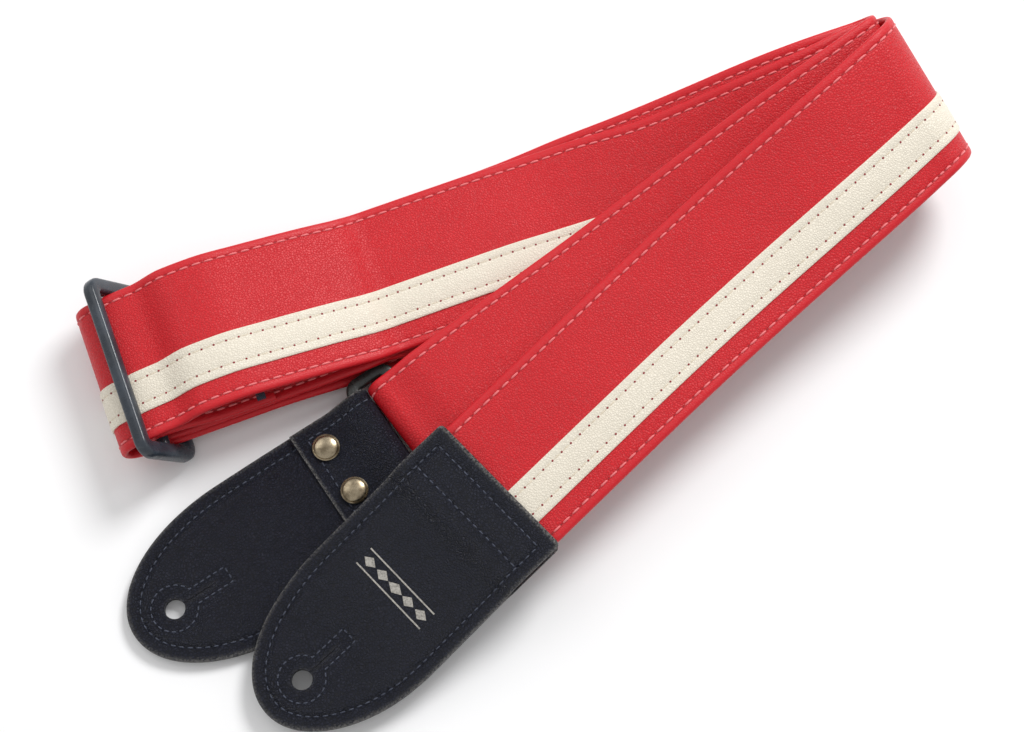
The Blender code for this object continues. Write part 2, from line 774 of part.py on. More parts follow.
def frame_object(name, outer, inner, corner, inner_corner, thick, chamfer, axes, slot):
    """A flat rectangular loop with chamfered bars: outer and inner are (length, width)."""
    origin, x_axis, y_axis, z_axis = axes
    half = thick / 2
    rings = (
        (outer, corner, 0.0, -half + chamfer),
        (outer, corner, 0.0, half - chamfer),
        (outer, corner, -chamfer, half),
        (inner, inner_corner, chamfer, half),
        (inner, inner_corner, 0.0, half - chamfer),
        (inner, inner_corner, 0.0, -half + chamfer),
        (inner, inner_corner, chamfer, -half),
        (outer, corner, -chamfer, -half),
    )
    points = []
    for size, round_by, grow, level in rings:
        outline = rounded_rectangle(size[0] + 2 * grow, size[1] + 2 * grow, round_by + grow)
        points.extend(origin + x_axis * x + y_axis * y + z_axis * level for x, y in outline)
    count = len(points) // len(rings)
    faces = []
    for row in range(len(rings)):
        a = row * count
        b = ((row + 1) % len(rings)) * count
        faces.extend((a + k, a + (k + 1) % count, b + (k + 1) % count, b + k) for k in range(count))
    return mesh_object(name, points, faces, slot)


def build_ring():
    origin = plan_point(REAR_ANGLE, RING_OFFSET, RING_MIDDLE) + UP * RING_HEIGHT
    axes = (origin, across(REAR_ANGLE), along(REAR_ANGLE), UP)
    inner = (RING_LENGTH - 2 * RING_END_BAR, RING_WIDTH - 2 * RING_BAR)
    frame_object(
        "ring", (RING_LENGTH, RING_WIDTH), inner, RING_CORNER, 0.9, RING_THICK, 0.8, axes, "ring_plastic"
    )


def slider_axes():
    origin = plan_point(LEFT_ANGLE, LEFT_OFFSET + SLIDER_SHIFT, SLIDER_AT) + UP * SLIDER_HEIGHT
    tilt = math.radians(SLIDER_TILT)
    width_axis = -along(LEFT_ANGLE) * math.cos(tilt) + UP * math.sin(tilt)
    length_axis = across(LEFT_ANGLE)
    return origin, length_axis, width_axis, np.cross(length_axis, width_axis)


def build_slider():
    axes = slider_axes()
    origin, length_axis, width_axis, out_axis = axes
    outer = (SLIDER_LENGTH, 2 * SLIDER_BAR_SPACING + SLIDER_BAR)
    inner = (SLIDER_LENGTH - 2 * SLIDER_END_BAR, 2 * SLIDER_BAR_SPACING - SLIDER_BAR)
    slider = frame_object(
        "slider", outer, inner, SLIDER_CORNER, 1.2, SLIDER_THICK, 0.9, axes, "slider_plastic"
    )
    reach = inner[0] / 2 + SLIDER_END_BAR / 2
    radius = CENTRE_BAR / 2
    outline = [(x, y) for x, y in circle_outline(radius, 16)]
    bar = prism("cutter", outline, origin, width_axis, out_axis, length_axis, -reach, reach)
    boolean(slider, bar, "UNION")
    edge = SLIDER_BAR_SPACING - SLIDER_BAR / 2
    pitch = (inner[0] - 3.0) / TOOTH_COUNT
    teeth = [(-inner[0] / 2 + 1.5, edge + 1.0)]
    for step in range(TOOTH_COUNT):
        start = -inner[0] / 2 + 1.5 + step * pitch
        teeth.append((start, edge - 0.02))
        teeth.append((start + pitch * 0.25, edge - TOOTH_DEPTH))
        teeth.append((start + pitch * 0.6, edge - TOOTH_DEPTH))
        teeth.append((start + pitch * 0.85, edge - 0.02))
    teeth.append((inner[0] / 2 - 1.5, edge - 0.02))
    teeth.append((inner[0] / 2 - 1.5, edge + 1.0))
    comb = prism("cutter", teeth, origin, length_axis, width_axis, out_axis, -0.8, 0.8)
    boolean(slider, comb, "UNION")


def settle():
    """Move everything so that the origin is the middle of the base of the bounding box."""
    things = [t for t in bpy.data.objects if t.type == "MESH"]
    spots = np.array([tuple(v.co) for t in things for v in t.data.vertices])
    low = spots.min(axis=0)
    high = spots.max(axis=0)
    shift = np.array([(low[0] + high[0]) / 2, (low[1] + high[1]) / 2, low[2]])
    for thing in things:
        for vertex in thing.data.vertices:
            vertex.co = tuple(np.array(vertex.co) - shift)
    print("origin was at", np.round(shift / MM, 3), "size", np.round((high - low) / MM, 2))
    return shift


def centre_on_joint(name, spot):
    """Put an object's own origin on its joint axis without moving its mesh."""
    thing = bpy.data.objects[name]
    for vertex in thing.data.vertices:
        vertex.co = tuple(np.array(vertex.co) - spot)
    thing.location = tuple(spot)


def main():
    clear_scene()
    build_strap()
    build_front_tab()
    build_rear_tab()
    build_ring()
    build_slider()
    shift = settle()
    ring_bar = (RING_WIDTH - RING_BAR) / 2
    strap_bar = plan_point(REAR_ANGLE, RING_OFFSET, RING_MIDDLE + ring_bar) + UP * RING_HEIGHT
    tab_bar = plan_point(REAR_ANGLE, RING_OFFSET, RING_MIDDLE - ring_bar) + UP * RING_HEIGHT
    stripe_top = SEAM_HEIGHT + STRAP_THICK / 2 + GAP + STRIPE_THICK + 0.1
    seam = plan_point(FRONT_ANGLE, FRONT_OFFSET, FRONT_SEAM) + UP * stripe_top
    spots = {
        "ring": strap_bar,
        "rear_loop_strip": tab_bar,
        "rear_tab_top": tab_bar,
        "rear_tab_bottom": tab_bar,
        "rivet_1": tab_bar,
        "rivet_2": tab_bar,
        "rivet_3": tab_bar,
        "front_tab_top": seam,
        "front_tab_bottom": seam,
        "front_end": seam,
        "front_end_stripe": seam,
        "slider": slider_axes()[0],
        "end_loop": slider_axes()[0],
    }
    for name, spot in spots.items():
        place = spot * MM - shift
        centre_on_joint(name, place)
        print(name, "origin", np.round(place, 6))


main()
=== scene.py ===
"""The looks of a two inch guitar strap: grained vinyl, sewn leather tabs, a slider and a ring."""

import math

import bpy
import numpy as np
from mathutils.geometry import delaunay_2d_cdt
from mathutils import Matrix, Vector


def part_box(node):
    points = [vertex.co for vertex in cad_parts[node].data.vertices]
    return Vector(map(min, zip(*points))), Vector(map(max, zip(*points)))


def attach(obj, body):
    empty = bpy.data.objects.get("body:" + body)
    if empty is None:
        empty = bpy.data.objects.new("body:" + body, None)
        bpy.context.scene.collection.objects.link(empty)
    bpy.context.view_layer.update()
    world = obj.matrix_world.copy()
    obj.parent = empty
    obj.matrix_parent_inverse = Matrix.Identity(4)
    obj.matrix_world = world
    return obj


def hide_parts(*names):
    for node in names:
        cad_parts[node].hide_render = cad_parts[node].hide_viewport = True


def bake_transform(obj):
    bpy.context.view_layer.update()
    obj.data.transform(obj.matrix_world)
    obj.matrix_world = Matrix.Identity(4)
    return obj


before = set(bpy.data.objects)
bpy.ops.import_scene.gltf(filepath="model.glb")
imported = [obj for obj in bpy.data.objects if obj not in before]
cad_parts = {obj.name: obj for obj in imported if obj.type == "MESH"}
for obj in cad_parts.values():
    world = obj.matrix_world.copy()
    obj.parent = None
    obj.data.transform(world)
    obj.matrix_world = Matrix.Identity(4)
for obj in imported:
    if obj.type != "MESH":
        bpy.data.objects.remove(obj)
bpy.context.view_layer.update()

# Every size is in millimetres in the design's own place, and becomes metres when a mesh is made.
MM = 0.001

# Strap band
STRAP_WIDTH = 50.8
STRAP_THICK = 2.2
STRIPE_FROM = 3.1
STRIPE_TO = 16.7
STRIPE_THICK = 0.5
GAP = 0.3

# Directions of the three sets of runs in plan, in degrees, and the offset of each run's centre line
FRONT_ANGLE = 43.7
MIDDLE_ANGLE = 36.6
LEFT_ANGLE = 20.7
FRONT_OFFSET = -28.1
MIDDLE_OFFSET = -3.5
LEFT_OFFSET = 39.7
FIXED_OFFSET = LEFT_OFFSET + 1.1
CROSSING = -28.5

# Fold radii at the strap's mid thickness, and the heights of the runs at the folds
OUTER_RADIUS = 12.5
MIDDLE_RADIUS = 5.7
INNER_RADIUS = 2.9
OUTER_LOW = 6.5
MIDDLE_LOW = 12.4
INNER_LOW = 15.2

# The folded end leans: its far edges are lifted about a line along the pile
LEAN_ANGLE = 15.0
LEAN_ALONG = 30.0
LEAN_PIVOT = -22.0
LEAN_HEIGHT = 20.0
LEAN_FROM = 30.0
LEAN_TO = 150.0

# Tabs
TAB_WIDTH = 53.6
TAB_LENGTH = 100.0
TAB_STRAIGHT = 54.0
PLY_THICK = 1.3
BUTTON_HOLE_RADIUS = 3.3
BUTTON_HOLE_FROM_TIP = 15.0
SLIT_LENGTH = 15.0
FRONT_SEAM = -31.8
SEAM_HEIGHT = 18.7
TUCKED_IN = 18.0

# Rear tab and its loop strip, measured along the rear tab's own direction
REAR_ANGLE = 33.8
REAR_TIP = -146.5
REAR_OFFSET = -5.9
REAR_MIDDLE = 3.35
REAR_PLY_END = -59.3
LOOP_START = -72.1
LOOP_THICK = 1.4
RIVET_AT = -64.2
RIVET_SPACING = 17.0
RIVET_CAP_RADIUS = 4.5
RIVET_POST_RADIUS = 1.4

# Ring: a rectangular plastic loop lying flat between the strap's turn and the rear tab's loop
RING_LENGTH = 63.0
RING_WIDTH = 17.8
RING_BAR = 4.5
RING_END_BAR = 4.0
RING_THICK = 3.4
RING_CORNER = 5.0
RING_MIDDLE = -40.65
RING_OFFSET = -5.8
RING_HEIGHT = 6.0
RING_TURN_RADIUS = 4.5
RING_TURN_AT = -36.5
RING_TURN_HEIGHT = 7.2

# Slider: a three bar plastic slide, tilted between the runs that pass through it
SLIDER_LENGTH = 63.6
SLIDER_BAR_SPACING = 12.0
SLIDER_BAR = 4.0
SLIDER_THICK = 4.4
SLIDER_CORNER = 5.5
SLIDER_END_BAR = 5.4
SLIDER_TILT = 61.0
SLIDER_AT = -112.7
SLIDER_SHIFT = 0.55
SLIDER_HEIGHT = 12.3
CENTRE_BAR = 3.6
TOOTH_COUNT = 20
TOOTH_DEPTH = 0.7
SLIDER_TURN_BACK = 7.0
BOTTOM_AT_SLIDER = 6.5
TOP_AT_SLIDER = 18.0
LOOP_RADIUS = 3.3
FLAP_LENGTH = 38.0

EDGE_ROW = 22.3
EDGE_PITCH = 4.1
EDGE_STITCH = 3.25
EDGE_THREAD = 0.34
EDGE_HOLE = 0.26
STRIPE_ROWS = (6.0, 13.8)
STRIPE_PITCH = 4.0
STRIPE_STITCH = 3.1
STRIPE_THREAD = 0.2
STRIPE_HOLE = 0.42
TAB_ROW = 4.3
TAB_PITCH = 2.7
TAB_STITCH = 2.0
TAB_THREAD = 0.24
LOOP_THREAD = 0.21
TACK_THREAD = 0.22
CROSS_ROWS = (5.5, 14.9)
CROSS_HALF = 22.5
KEY_RADIUS = 7.5
KEY_NECK = 2.75
KEY_END = 20.0
KEY_PITCH = 2.3
KEY_STITCH = 1.75
SLIT_SHOWN = 0.09
STITCH_SPOTS = (0.0, 0.2, 0.5, 0.8, 1.0)
STITCH_SIZES = (0.35, 0.9, 1.0, 0.9, 0.35)
STITCH_DIPS = (-1.3, -0.15, 0.0, -0.15, -1.3)
NEEDLE_RINGS = ((1.0, -0.25), (0.8, 0.04), (0.3, 0.07))

# How the runs are laid: a slope's step, the length over which a skew fades, and a run that isn't bowed
SLOPE_STEP = 0.01
SKEW_FADE = 14.0
NO_DRIFT = ((0.0, 0.0), (1.0, 0.0))

# Light and camera
WORLD_LIGHT = 0.62
LAMPS = (("key", (0.5, 0.75, 0.95), 0.5, 12.0), ("fill", (-0.8, 0.5, 1.0), 1.0, 3.0))
CAMERA_TARGET = np.array([0.0, 0.0, 10.0])
CAMERA_ELEVATION = 72.0
CAMERA_DISTANCE = 700.0
CAMERA_LENS = 76.3


def along(angle):
    turn = math.radians(angle)
    return np.array([math.cos(turn), math.sin(turn), 0.0])


def across(angle):
    turn = math.radians(angle)
    return np.array([-math.sin(turn), math.cos(turn), 0.0])


UP = np.array([0.0, 0.0, 1.0])


def plan_point(angle, offset, distance):
    return along(angle) * distance + across(angle) * offset


def smooth_heights(knots, distance):
    """Height at a distance from knots of (distance, height), level at both ends, with no overshoot."""
    places = [k[0] for k in knots]
    heights = [k[1] for k in knots]
    steps = np.diff(places)
    slopes = np.diff(heights) / steps
    tangents = [0.0]
    for before, after in zip(slopes[:-1], slopes[1:]):
        both = before * after
        tangents.append(2.0 * both / (before + after) if both > 0 else 0.0)
    tangents.append(0.0)
    part = min(max(int(np.searchsorted(places, distance)) - 1, 0), len(steps) - 1)
    size = steps[part]
    u = min(max((distance - places[part]) / size, 0.0), 1.0)
    a = heights[part] * (1 + 2 * u) * (1 - u) ** 2
    b = tangents[part] * size * u * (1 - u) ** 2
    c = heights[part + 1] * u * u * (3 - 2 * u)
    d = tangents[part + 1] * size * u * u * (u - 1)
    return a + b + c + d


def run_stations(
    angle, offset, start, end, knots, face_up, start_skew=0.0, end_skew=0.0, count=26, drift=NO_DRIFT
):
    """Stations of a run: centre, face normal and ruling per mm across. Drift bows a straight run in plan."""
    heading = 1.0 if end > start else -1.0
    stations = []
    for place in np.linspace(start, end, count):
        low = smooth_heights(knots, place - SLOPE_STEP)
        high = smooth_heights(knots, place + SLOPE_STEP)
        slope = (high - low) / (2 * SLOPE_STEP)
        ahead = along(angle) * heading + UP * slope * heading
        ahead = ahead / np.linalg.norm(ahead)
        side = across(angle)
        normal = np.cross(along(angle) + UP * slope, side)
        normal = normal / np.linalg.norm(normal) * (1.0 if face_up else -1.0)
        right = np.cross(ahead, normal)
        aside = offset + smooth_heights(drift, place)
        centre = plan_point(angle, aside, place) + UP * smooth_heights(knots, place)
        blend_in = max(0.0, 1.0 - abs(place - start) / SKEW_FADE)
        blend_out = max(0.0, 1.0 - abs(place - end) / SKEW_FADE)
        skew = start_skew * blend_in + end_skew * blend_out
        ruling = right - ahead * math.tan(math.radians(skew))
        stations.append((centre, normal, ruling))
    return stations


def fold_stations(entry, bisector, low, radius, skew, falling, face_out, turn=math.pi, count=22):
    """Stations around a part cylinder. The band enters at the axis's plan line and wraps as a helix."""
    out = along(bisector)
    axis = across(bisector)
    tangent = math.tan(math.radians(skew))
    stations = []
    for sweep in np.linspace(0.0, turn, count):
        start_up = 1.0 if falling else -1.0
        radial = out * math.sin(sweep) + UP * math.cos(sweep) * start_up
        ahead = out * math.cos(sweep) - UP * math.sin(sweep) * start_up
        centre = entry + axis * radius * sweep * tangent
        centre = np.array([centre[0], centre[1], 0.0]) + UP * (low + radius) + radial * radius
        normal = radial if face_out else -radial
        right = np.cross(ahead, normal)
        lean = np.sign(np.dot(right, axis))
        ruling = axis * lean / math.cos(math.radians(skew))
        stations.append((centre, normal, ruling))
    return stations


def lean(point):
    """Turn a point about the pivot line, by an angle that grows along the pile to the folded end."""
    ahead = along(LEAN_ALONG)
    side = across(LEAN_ALONG)
    part = (np.dot(point, ahead) - LEAN_FROM) / (LEAN_TO - LEAN_FROM)
    part = min(max(part, 0.0), 1.0)
    turn = math.radians(LEAN_ANGLE) * part * part * (3 - 2 * part)
    reach = np.dot(point, side) - LEAN_PIVOT
    above = point[2] - LEAN_HEIGHT
    new_reach = reach * math.cos(turn) - above * math.sin(turn)
    height = reach * math.sin(turn) + above * math.cos(turn)
    moved = point + side * (new_reach - reach)
    return np.array([moved[0], moved[1], height + LEAN_HEIGHT])


def line_in_fold(angle, offset, bisector, place):
    """Distance along a plan line at which it meets the fold axis, and its position there."""
    out = along(bisector)
    distance = (place - np.dot(across(angle) * offset, out)) / np.dot(along(angle), out)
    return distance, plan_point(angle, offset, distance)


def fold_place(angle_a, offset_a, angle_b, offset_b, bisector, shift):
    """Where the fold axis sits so that line b lies `shift` further along the axis than line a."""

    def lead(place):
        first = line_in_fold(angle_a, offset_a, bisector, place)[1]
        second = line_in_fold(angle_b, offset_b, bisector, place)[1]
        return np.dot(second - first, across(bisector)) - shift

    low = lead(0.0)
    rate = lead(1.0) - low
    return -low / rate


def rounded_rectangle(length, width, corner, steps=6):
    outline = []
    for sx, sy, start in ((1, 1, 0), (-1, 1, 90), (-1, -1, 180), (1, -1, 270)):
        for turn in np.linspace(start, start + 90, steps):
            angle = math.radians(turn)
            x = sx * (length / 2 - corner) + corner * math.cos(angle)
            y = sy * (width / 2 - corner) + corner * math.sin(angle)
            outline.append((x, y))
    return outline


low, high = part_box("ring")
ring_middle = (np.array(low) + np.array(high)) / 2 / MM
SHIFT = plan_point(REAR_ANGLE, RING_OFFSET, RING_MIDDLE) + UP * RING_HEIGHT - ring_middle


def to_row(point):
    """A design point in the row frame, in metres."""
    return tuple(float(c) for c in (np.asarray(point) - SHIFT) * MM)


# Materials


def feed(tree, socket, value):
    """Link a socket to the value, or set it."""
    if isinstance(value, bpy.types.NodeSocket):
        tree.links.new(value, socket)
    else:
        socket.default_value = value


def add(tree, kind, inputs=None, **settings):
    """A shader node: sockets are linked, and other values are set."""
    node = tree.nodes.new(kind)
    for key, value in settings.items():
        setattr(node, key, value)
    for key, value in (inputs or {}).items():
        feed(tree, node.inputs[key], value)
    return node


def maths(tree, operation, first, second=0.0, third=0.0):
    return add(tree, "ShaderNodeMath", {0: first, 1: second, 2: third}, operation=operation).outputs[0]


def span(tree, value, start, end, low=0.0, high=1.0):
    """Value carried smoothly from one range to another."""
    names = {"Value": value, "From Min": start, "From Max": end, "To Min": low, "To Max": high}
    return add(tree, "ShaderNodeMapRange", names, interpolation_type="SMOOTHSTEP").outputs["Result"]


def mixed(tree, part, first, second):
    node = add(tree, "ShaderNodeMix", data_type="RGBA")
    for key, value in (("Factor_Float", part), ("A_Color", first), ("B_Color", second)):
        feed(tree, next(s for s in node.inputs if s.identifier == key), value)
    return next(s for s in node.outputs if s.identifier == "Result_Color")


def colour(red, green, blue):
    """A display colour of 0 to 255 as the shader's linear one."""
    parts = [c / 255 for c in (red, green, blue)]
    linear = [c / 12.92 if c < 0.04045 else ((c + 0.055) / 1.055) ** 2.4 for c in parts]
    return (*linear, 1.0)


def start_material(name, roughness, metal=0.0, specular=0.5):
    made = bpy.data.materials.new(name)
    made.use_nodes = True
    tree = made.node_tree
    shader = tree.nodes["Principled BSDF"]
    shader.inputs["Roughness"].default_value = roughness
    shader.inputs["Metallic"].default_value = metal
    shader.inputs["Specular IOR Level"].default_value = specular
    return made, tree, shader


def cut_map(tree, name="cut"):
    return add(tree, "ShaderNodeUVMap", uv_map=name).outputs["UV"]


def noise(tree, place, scale, detail=3.0, roughness=0.55):
    names = {"Vector": place, "Scale": scale, "Detail": detail, "Roughness": roughness}
    return add(tree, "ShaderNodeTexNoise", names).outputs["Fac"]


def cells(tree, place, scale, feature="F1"):
    names = {"Vector": place, "Scale": scale}
    return add(tree, "ShaderNodeTexVoronoi", names, feature=feature).outputs["Distance"]


def wandering(tree, place, scale, detail):
    """The place moved a little by a soft noise, so that cells don't line up."""
    wander = noise(tree, place, scale, detail)
    return add(tree, "ShaderNodeVectorMath", {0: place, 1: wander}, operation="ADD").outputs[0]


def finished(started, tone, rough, height, strength, distance):
    """The started material with its colour, roughness and bump linked."""
    made, tree, shader = started
    tree.links.new(tone, shader.inputs["Base Color"])
    if rough:
        tree.links.new(rough, shader.inputs["Roughness"])
    names = {"Height": height, "Strength": strength, "Distance": distance}
    tree.links.new(add(tree, "ShaderNodeBump", names).outputs["Normal"], shader.inputs["Normal"])
    return made


def vinyl(name, light, dark, edge, grain, groove_shade):
    """Grained vinyl in cut coordinates: pebbles with painted shade in the grain's creases, soft blotches,
    smoother brighter edges, and painted shade in the sunk stitch rows.
    """
    started = start_material(name, 0.42, specular=0.4)
    tree = started[1]
    place = cut_map(tree)
    bent = wandering(tree, place, 0.55, 2.0)
    pebble = span(tree, cells(tree, bent, grain), 0.0, 0.75)
    crease = span(tree, cells(tree, bent, grain, "DISTANCE_TO_EDGE"), 0.0, 0.16)
    fine = noise(tree, place, grain * 3.1, 3.0)
    blotch = noise(tree, place, 0.045, 4.0)
    split = add(tree, "ShaderNodeSeparateXYZ", {0: place})
    reach = maths(tree, "ABSOLUTE", split.outputs["Y"])
    border = span(tree, reach, EDGE_ROW + 0.2, EDGE_ROW + 1.1)
    row = span(tree, maths(tree, "ABSOLUTE", maths(tree, "SUBTRACT", reach, EDGE_ROW)), 0.75, 0.1)
    # Painted shade: the grain's creases are coloured darker; the soft blotches vary the tone at random.
    shade = maths(tree, "MULTIPLY_ADD", crease, -0.5, 0.6)
    shade = maths(tree, "MULTIPLY_ADD", blotch, 0.5, maths(tree, "SUBTRACT", shade, 0.25))
    tone = mixed(tree, shade, light, dark)
    tone = mixed(tree, maths(tree, "MULTIPLY", border, 0.75), tone, edge)
    # Painted shade: the sunk stitch row near each edge is coloured darker.
    tone = mixed(tree, maths(tree, "MULTIPLY", row, 0.3), tone, groove_shade)
    rough = span(tree, maths(tree, "ADD", fine, crease), 0.3, 1.5, 0.52, 0.4)
    height = maths(tree, "MULTIPLY_ADD", crease, 0.55, maths(tree, "MULTIPLY", pebble, -0.35))
    height = maths(tree, "MULTIPLY_ADD", fine, 0.45, height)
    height = maths(tree, "MULTIPLY", height, maths(tree, "MULTIPLY_ADD", border, -0.65, 1.0))
    return finished(started, tone, rough, height, 0.62, 0.00026)


def leather(name, light, dark, worn):
    """Black grained leather in cut coordinates, with scuffed grey edges from the wear map. Its grain's
    creases are painted darker and its pebbles lighter, as painted shade and highlight.
    """
    started = start_material(name, 0.45, specular=0.42)
    tree = started[1]
    place = cut_map(tree)
    bent = wandering(tree, place, 0.35, 3.0)
    crease = span(tree, cells(tree, bent, 1.05, "DISTANCE_TO_EDGE"), 0.0, 0.22)
    small = span(tree, cells(tree, bent, 2.3, "DISTANCE_TO_EDGE"), 0.0, 0.2)
    fine = noise(tree, place, 4.5, 3.0)
    blotch = noise(tree, place, 0.06, 4.0)
    wear = add(tree, "ShaderNodeSeparateXYZ", {0: cut_map(tree, "wear")}).outputs["X"]
    scuff = noise(tree, place, 1.3, 5.0, 0.7)
    rubbed = maths(tree, "MULTIPLY", wear, span(tree, scuff, 0.36, 0.62))
    # Painted shade and highlight: the grain's creases are coloured darker and its pebbles lighter; the
    # blotches vary the tone at random.
    shade = maths(tree, "MULTIPLY_ADD", crease, 0.62, maths(tree, "MULTIPLY", blotch, 0.35))
    tone = mixed(tree, maths(tree, "MULTIPLY", rubbed, 0.8), mixed(tree, shade, dark, light), worn)
    rough = span(tree, maths(tree, "MULTIPLY_ADD", rubbed, 0.8, fine), 0.2, 1.2, 0.3, 0.72)
    height = maths(tree, "MULTIPLY_ADD", crease, 0.5, maths(tree, "MULTIPLY", small, 0.28))
    height = maths(tree, "MULTIPLY_ADD", fine, 0.3, height)
    height = maths(tree, "MULTIPLY_ADD", rubbed, 0.4, height)
    return finished(started, tone, rough, height, 1.0, 0.0007)


def object_place(tree):
    return add(tree, "ShaderNodeTexCoord").outputs["Object"]


def thread(name, light, dark):
    """Twisted sewing thread: the twist's raised bands are painted lighter and its grooves darker, as painted
    highlight and shade, with patches that differ at random.
    """
    started = start_material(name, 0.62, specular=0.3)
    tree = started[1]
    started[2].inputs["Sheen Weight"].default_value = 0.25
    place = object_place(tree)
    names = {"Vector": place, "Scale": 900.0, "Distortion": 1.5, "Detail": 1.0}
    twist = add(tree, "ShaderNodeTexWave", names, bands_direction="DIAGONAL").outputs["Fac"]
    patch = noise(tree, place, 700.0, 2.0)
    # Painted highlight and shade: the twist's raised bands are lighter and its grooves darker.
    part = maths(tree, "MULTIPLY_ADD", twist, 0.5, maths(tree, "MULTIPLY", patch, 0.5))
    return finished(started, mixed(tree, part, dark, light), None, twist, 0.5, 0.00008)


def moulded(name, light, dark, roughness):
    """Moulded plastic: fine texture, faint flow marks and rubbed high spots."""
    started = start_material(name, roughness, specular=0.5)
    tree = started[1]
    place = object_place(tree)
    fine = noise(tree, place, 2600.0, 3.0)
    flow = noise(tree, place, 90.0, 4.0)
    scuff = noise(tree, place, 420.0, 5.0, 0.7)
    tone = mixed(tree, span(tree, flow, 0.3, 0.75), dark, light)
    tone = mixed(tree, span(tree, scuff, 0.6, 0.82, 0.0, 0.35), tone, (0.3, 0.32, 0.34, 1.0))
    rough = span(tree, scuff, 0.3, 0.8, roughness - 0.08, roughness + 0.15)
    return finished(started, tone, rough, fine, 0.18, 0.00005)


def brass(name):
    """Antique brass: darker patina in patches, brighter where it is rubbed."""
    started = start_material(name, 0.28, metal=1.0)
    tree = started[1]
    place = object_place(tree)
    patina = noise(tree, place, 260.0, 5.0, 0.65)
    fine = noise(tree, place, 1900.0, 3.0)
    tone = mixed(tree, span(tree, patina, 0.35, 0.7), colour(172, 158, 134), colour(104, 92, 74))
    rough = span(tree, maths(tree, "ADD", patina, fine), 0.6, 1.4, 0.2, 0.4)
    return finished(started, tone, rough, fine, 0.12, 0.00004)


def printed(name):
    started = start_material(name, 0.5)
    tree = started[1]
    patch = noise(tree, object_place(tree), 1500.0, 4.0, 0.7)
    tone = mixed(tree, span(tree, patch, 0.35, 0.7), colour(176, 172, 164), colour(120, 117, 112))
    return finished(started, tone, None, patch, 0.2, 0.00003)


def pale_floor(name):
    made, tree, shader = start_material(name, 0.75, specular=0.2)
    patch = noise(tree, object_place(tree), 3.0, 2.0)
    tone = mixed(tree, patch, (0.93, 0.93, 0.935, 1.0), (0.9, 0.9, 0.905, 1.0))
    tree.links.new(tone, shader.inputs["Base Color"])
    return made


# The last colour of each vinyl is the painted shade of its sunk stitch rows.
RED = vinyl(
    "red_grained_vinyl", colour(204, 21, 32), colour(170, 9, 23), colour(196, 20, 32), 1.25,
    colour(122, 8, 20),
)
CREAM = vinyl(
    "cream_grained_vinyl", colour(232, 224, 208), colour(216, 206, 188), colour(230, 222, 206), 1.3,
    colour(214, 204, 182),
)
BLACK = leather("black_grained_leather", colour(28, 32, 50), colour(3, 4, 10), colour(158, 155, 150))
RED_THREAD = thread("rose_thread", colour(238, 134, 134), colour(214, 86, 94))
CREAM_THREAD = thread("cream_thread", colour(232, 222, 202), colour(196, 180, 158))
BLACK_THREAD = thread("black_thread", colour(84, 90, 108), colour(34, 37, 47))
# Painted shade: dark caps at the needle holes stand for the shade in them; on the cream stripe they also
# show the red strap below.
NEEDLE_HOLE_SHADE = thread("needle_hole_shade_red", colour(158, 44, 46), colour(104, 18, 26))
SLIDER_PLASTIC = moulded("slider_blue_grey_plastic", colour(58, 66, 76), colour(38, 44, 52), 0.3)
RING_PLASTIC = moulded("ring_dark_plastic", colour(48, 51, 49), colour(30, 32, 31), 0.3)
BRASS = brass("aged_brass_caps")
PRINT = printed("silver_grey_print")


# Mesh making


def linked(name, data):
    """An object of the scene with the data."""
    made = bpy.data.objects.new(name, data)
    bpy.context.scene.collection.objects.link(made)
    return made


def piece(name, points, faces, material, maps=None, sharp=40.0):
    """A smooth mesh object in the row frame. maps holds a (place, place) per point for each named map."""
    mesh = bpy.data.meshes.new(name)
    placed = (np.asarray(points, float) - SHIFT) * MM
    mesh.from_pydata(placed.tolist(), [], faces)
    corner_points = np.zeros(len(mesh.loops), dtype=np.int64)
    mesh.loops.foreach_get("vertex_index", corner_points)
    for key, values in (maps or {}).items():
        spots = np.asarray(values, np.float32)[corner_points]
        mesh.uv_layers.new(name=key).data.foreach_set("uv", spots.reshape(-1))
    mesh.polygons.foreach_set("use_smooth", [True] * len(mesh.polygons))
    mesh.update()
    mesh.set_sharp_from_angle(angle=math.radians(sharp))
    mesh.materials.append(material)
    made = linked(name, mesh)
    return made


def add_walls(faces, base, count, rows):
    """Quads between rings of count points each, one ring after another from base."""
    for a in range(base, base + (rows - 1) * count, count):
        b = a + count
        faces.extend((a + k, a + (k + 1) % count, b + (k + 1) % count, b + k) for k in range(count))


def add_caps(faces, base, count, rows):
    """The two faces that close the first and the last of the rings."""
    faces.append(tuple(base + k for k in reversed(range(count))))
    end = base + (rows - 1) * count
    faces.append(tuple(end + k for k in range(count)))


def run_along(line):
    """The length so far at each point of a line."""
    return np.concatenate([[0.0], np.cumsum(np.linalg.norm(np.diff(line, axis=0), axis=1))])


def spots_at(places, run, line):
    """The points of a line at lengths along it."""
    return np.stack([np.interp(places, run, line[:, k]) for k in range(line.shape[1])], axis=-1)


class Path:
    """Stations joined end to end, with the length run so far at each."""

    def __init__(self, *stretches):
        stations = []
        for stretch in stretches:
            for station in stretch:
                if stations and np.linalg.norm(station[0] - stations[-1][0]) < 0.05:
                    continue
                stations.append(station)
        self.centres, self.normals, self.rulings = (np.array([s[k] for s in stations]) for k in range(3))
        self.run = run_along(self.centres)
        self.length = float(self.run[-1])

    def at(self, distance, side, out):
        """The point and face normal at a distance along, a place across and a height off the middle."""
        lines = (self.centres, self.normals, self.rulings)
        centre, normal, ruling = (spots_at(distance, self.run, line) for line in lines)
        return lean(centre + ruling * side + normal * out), normal / np.linalg.norm(normal)


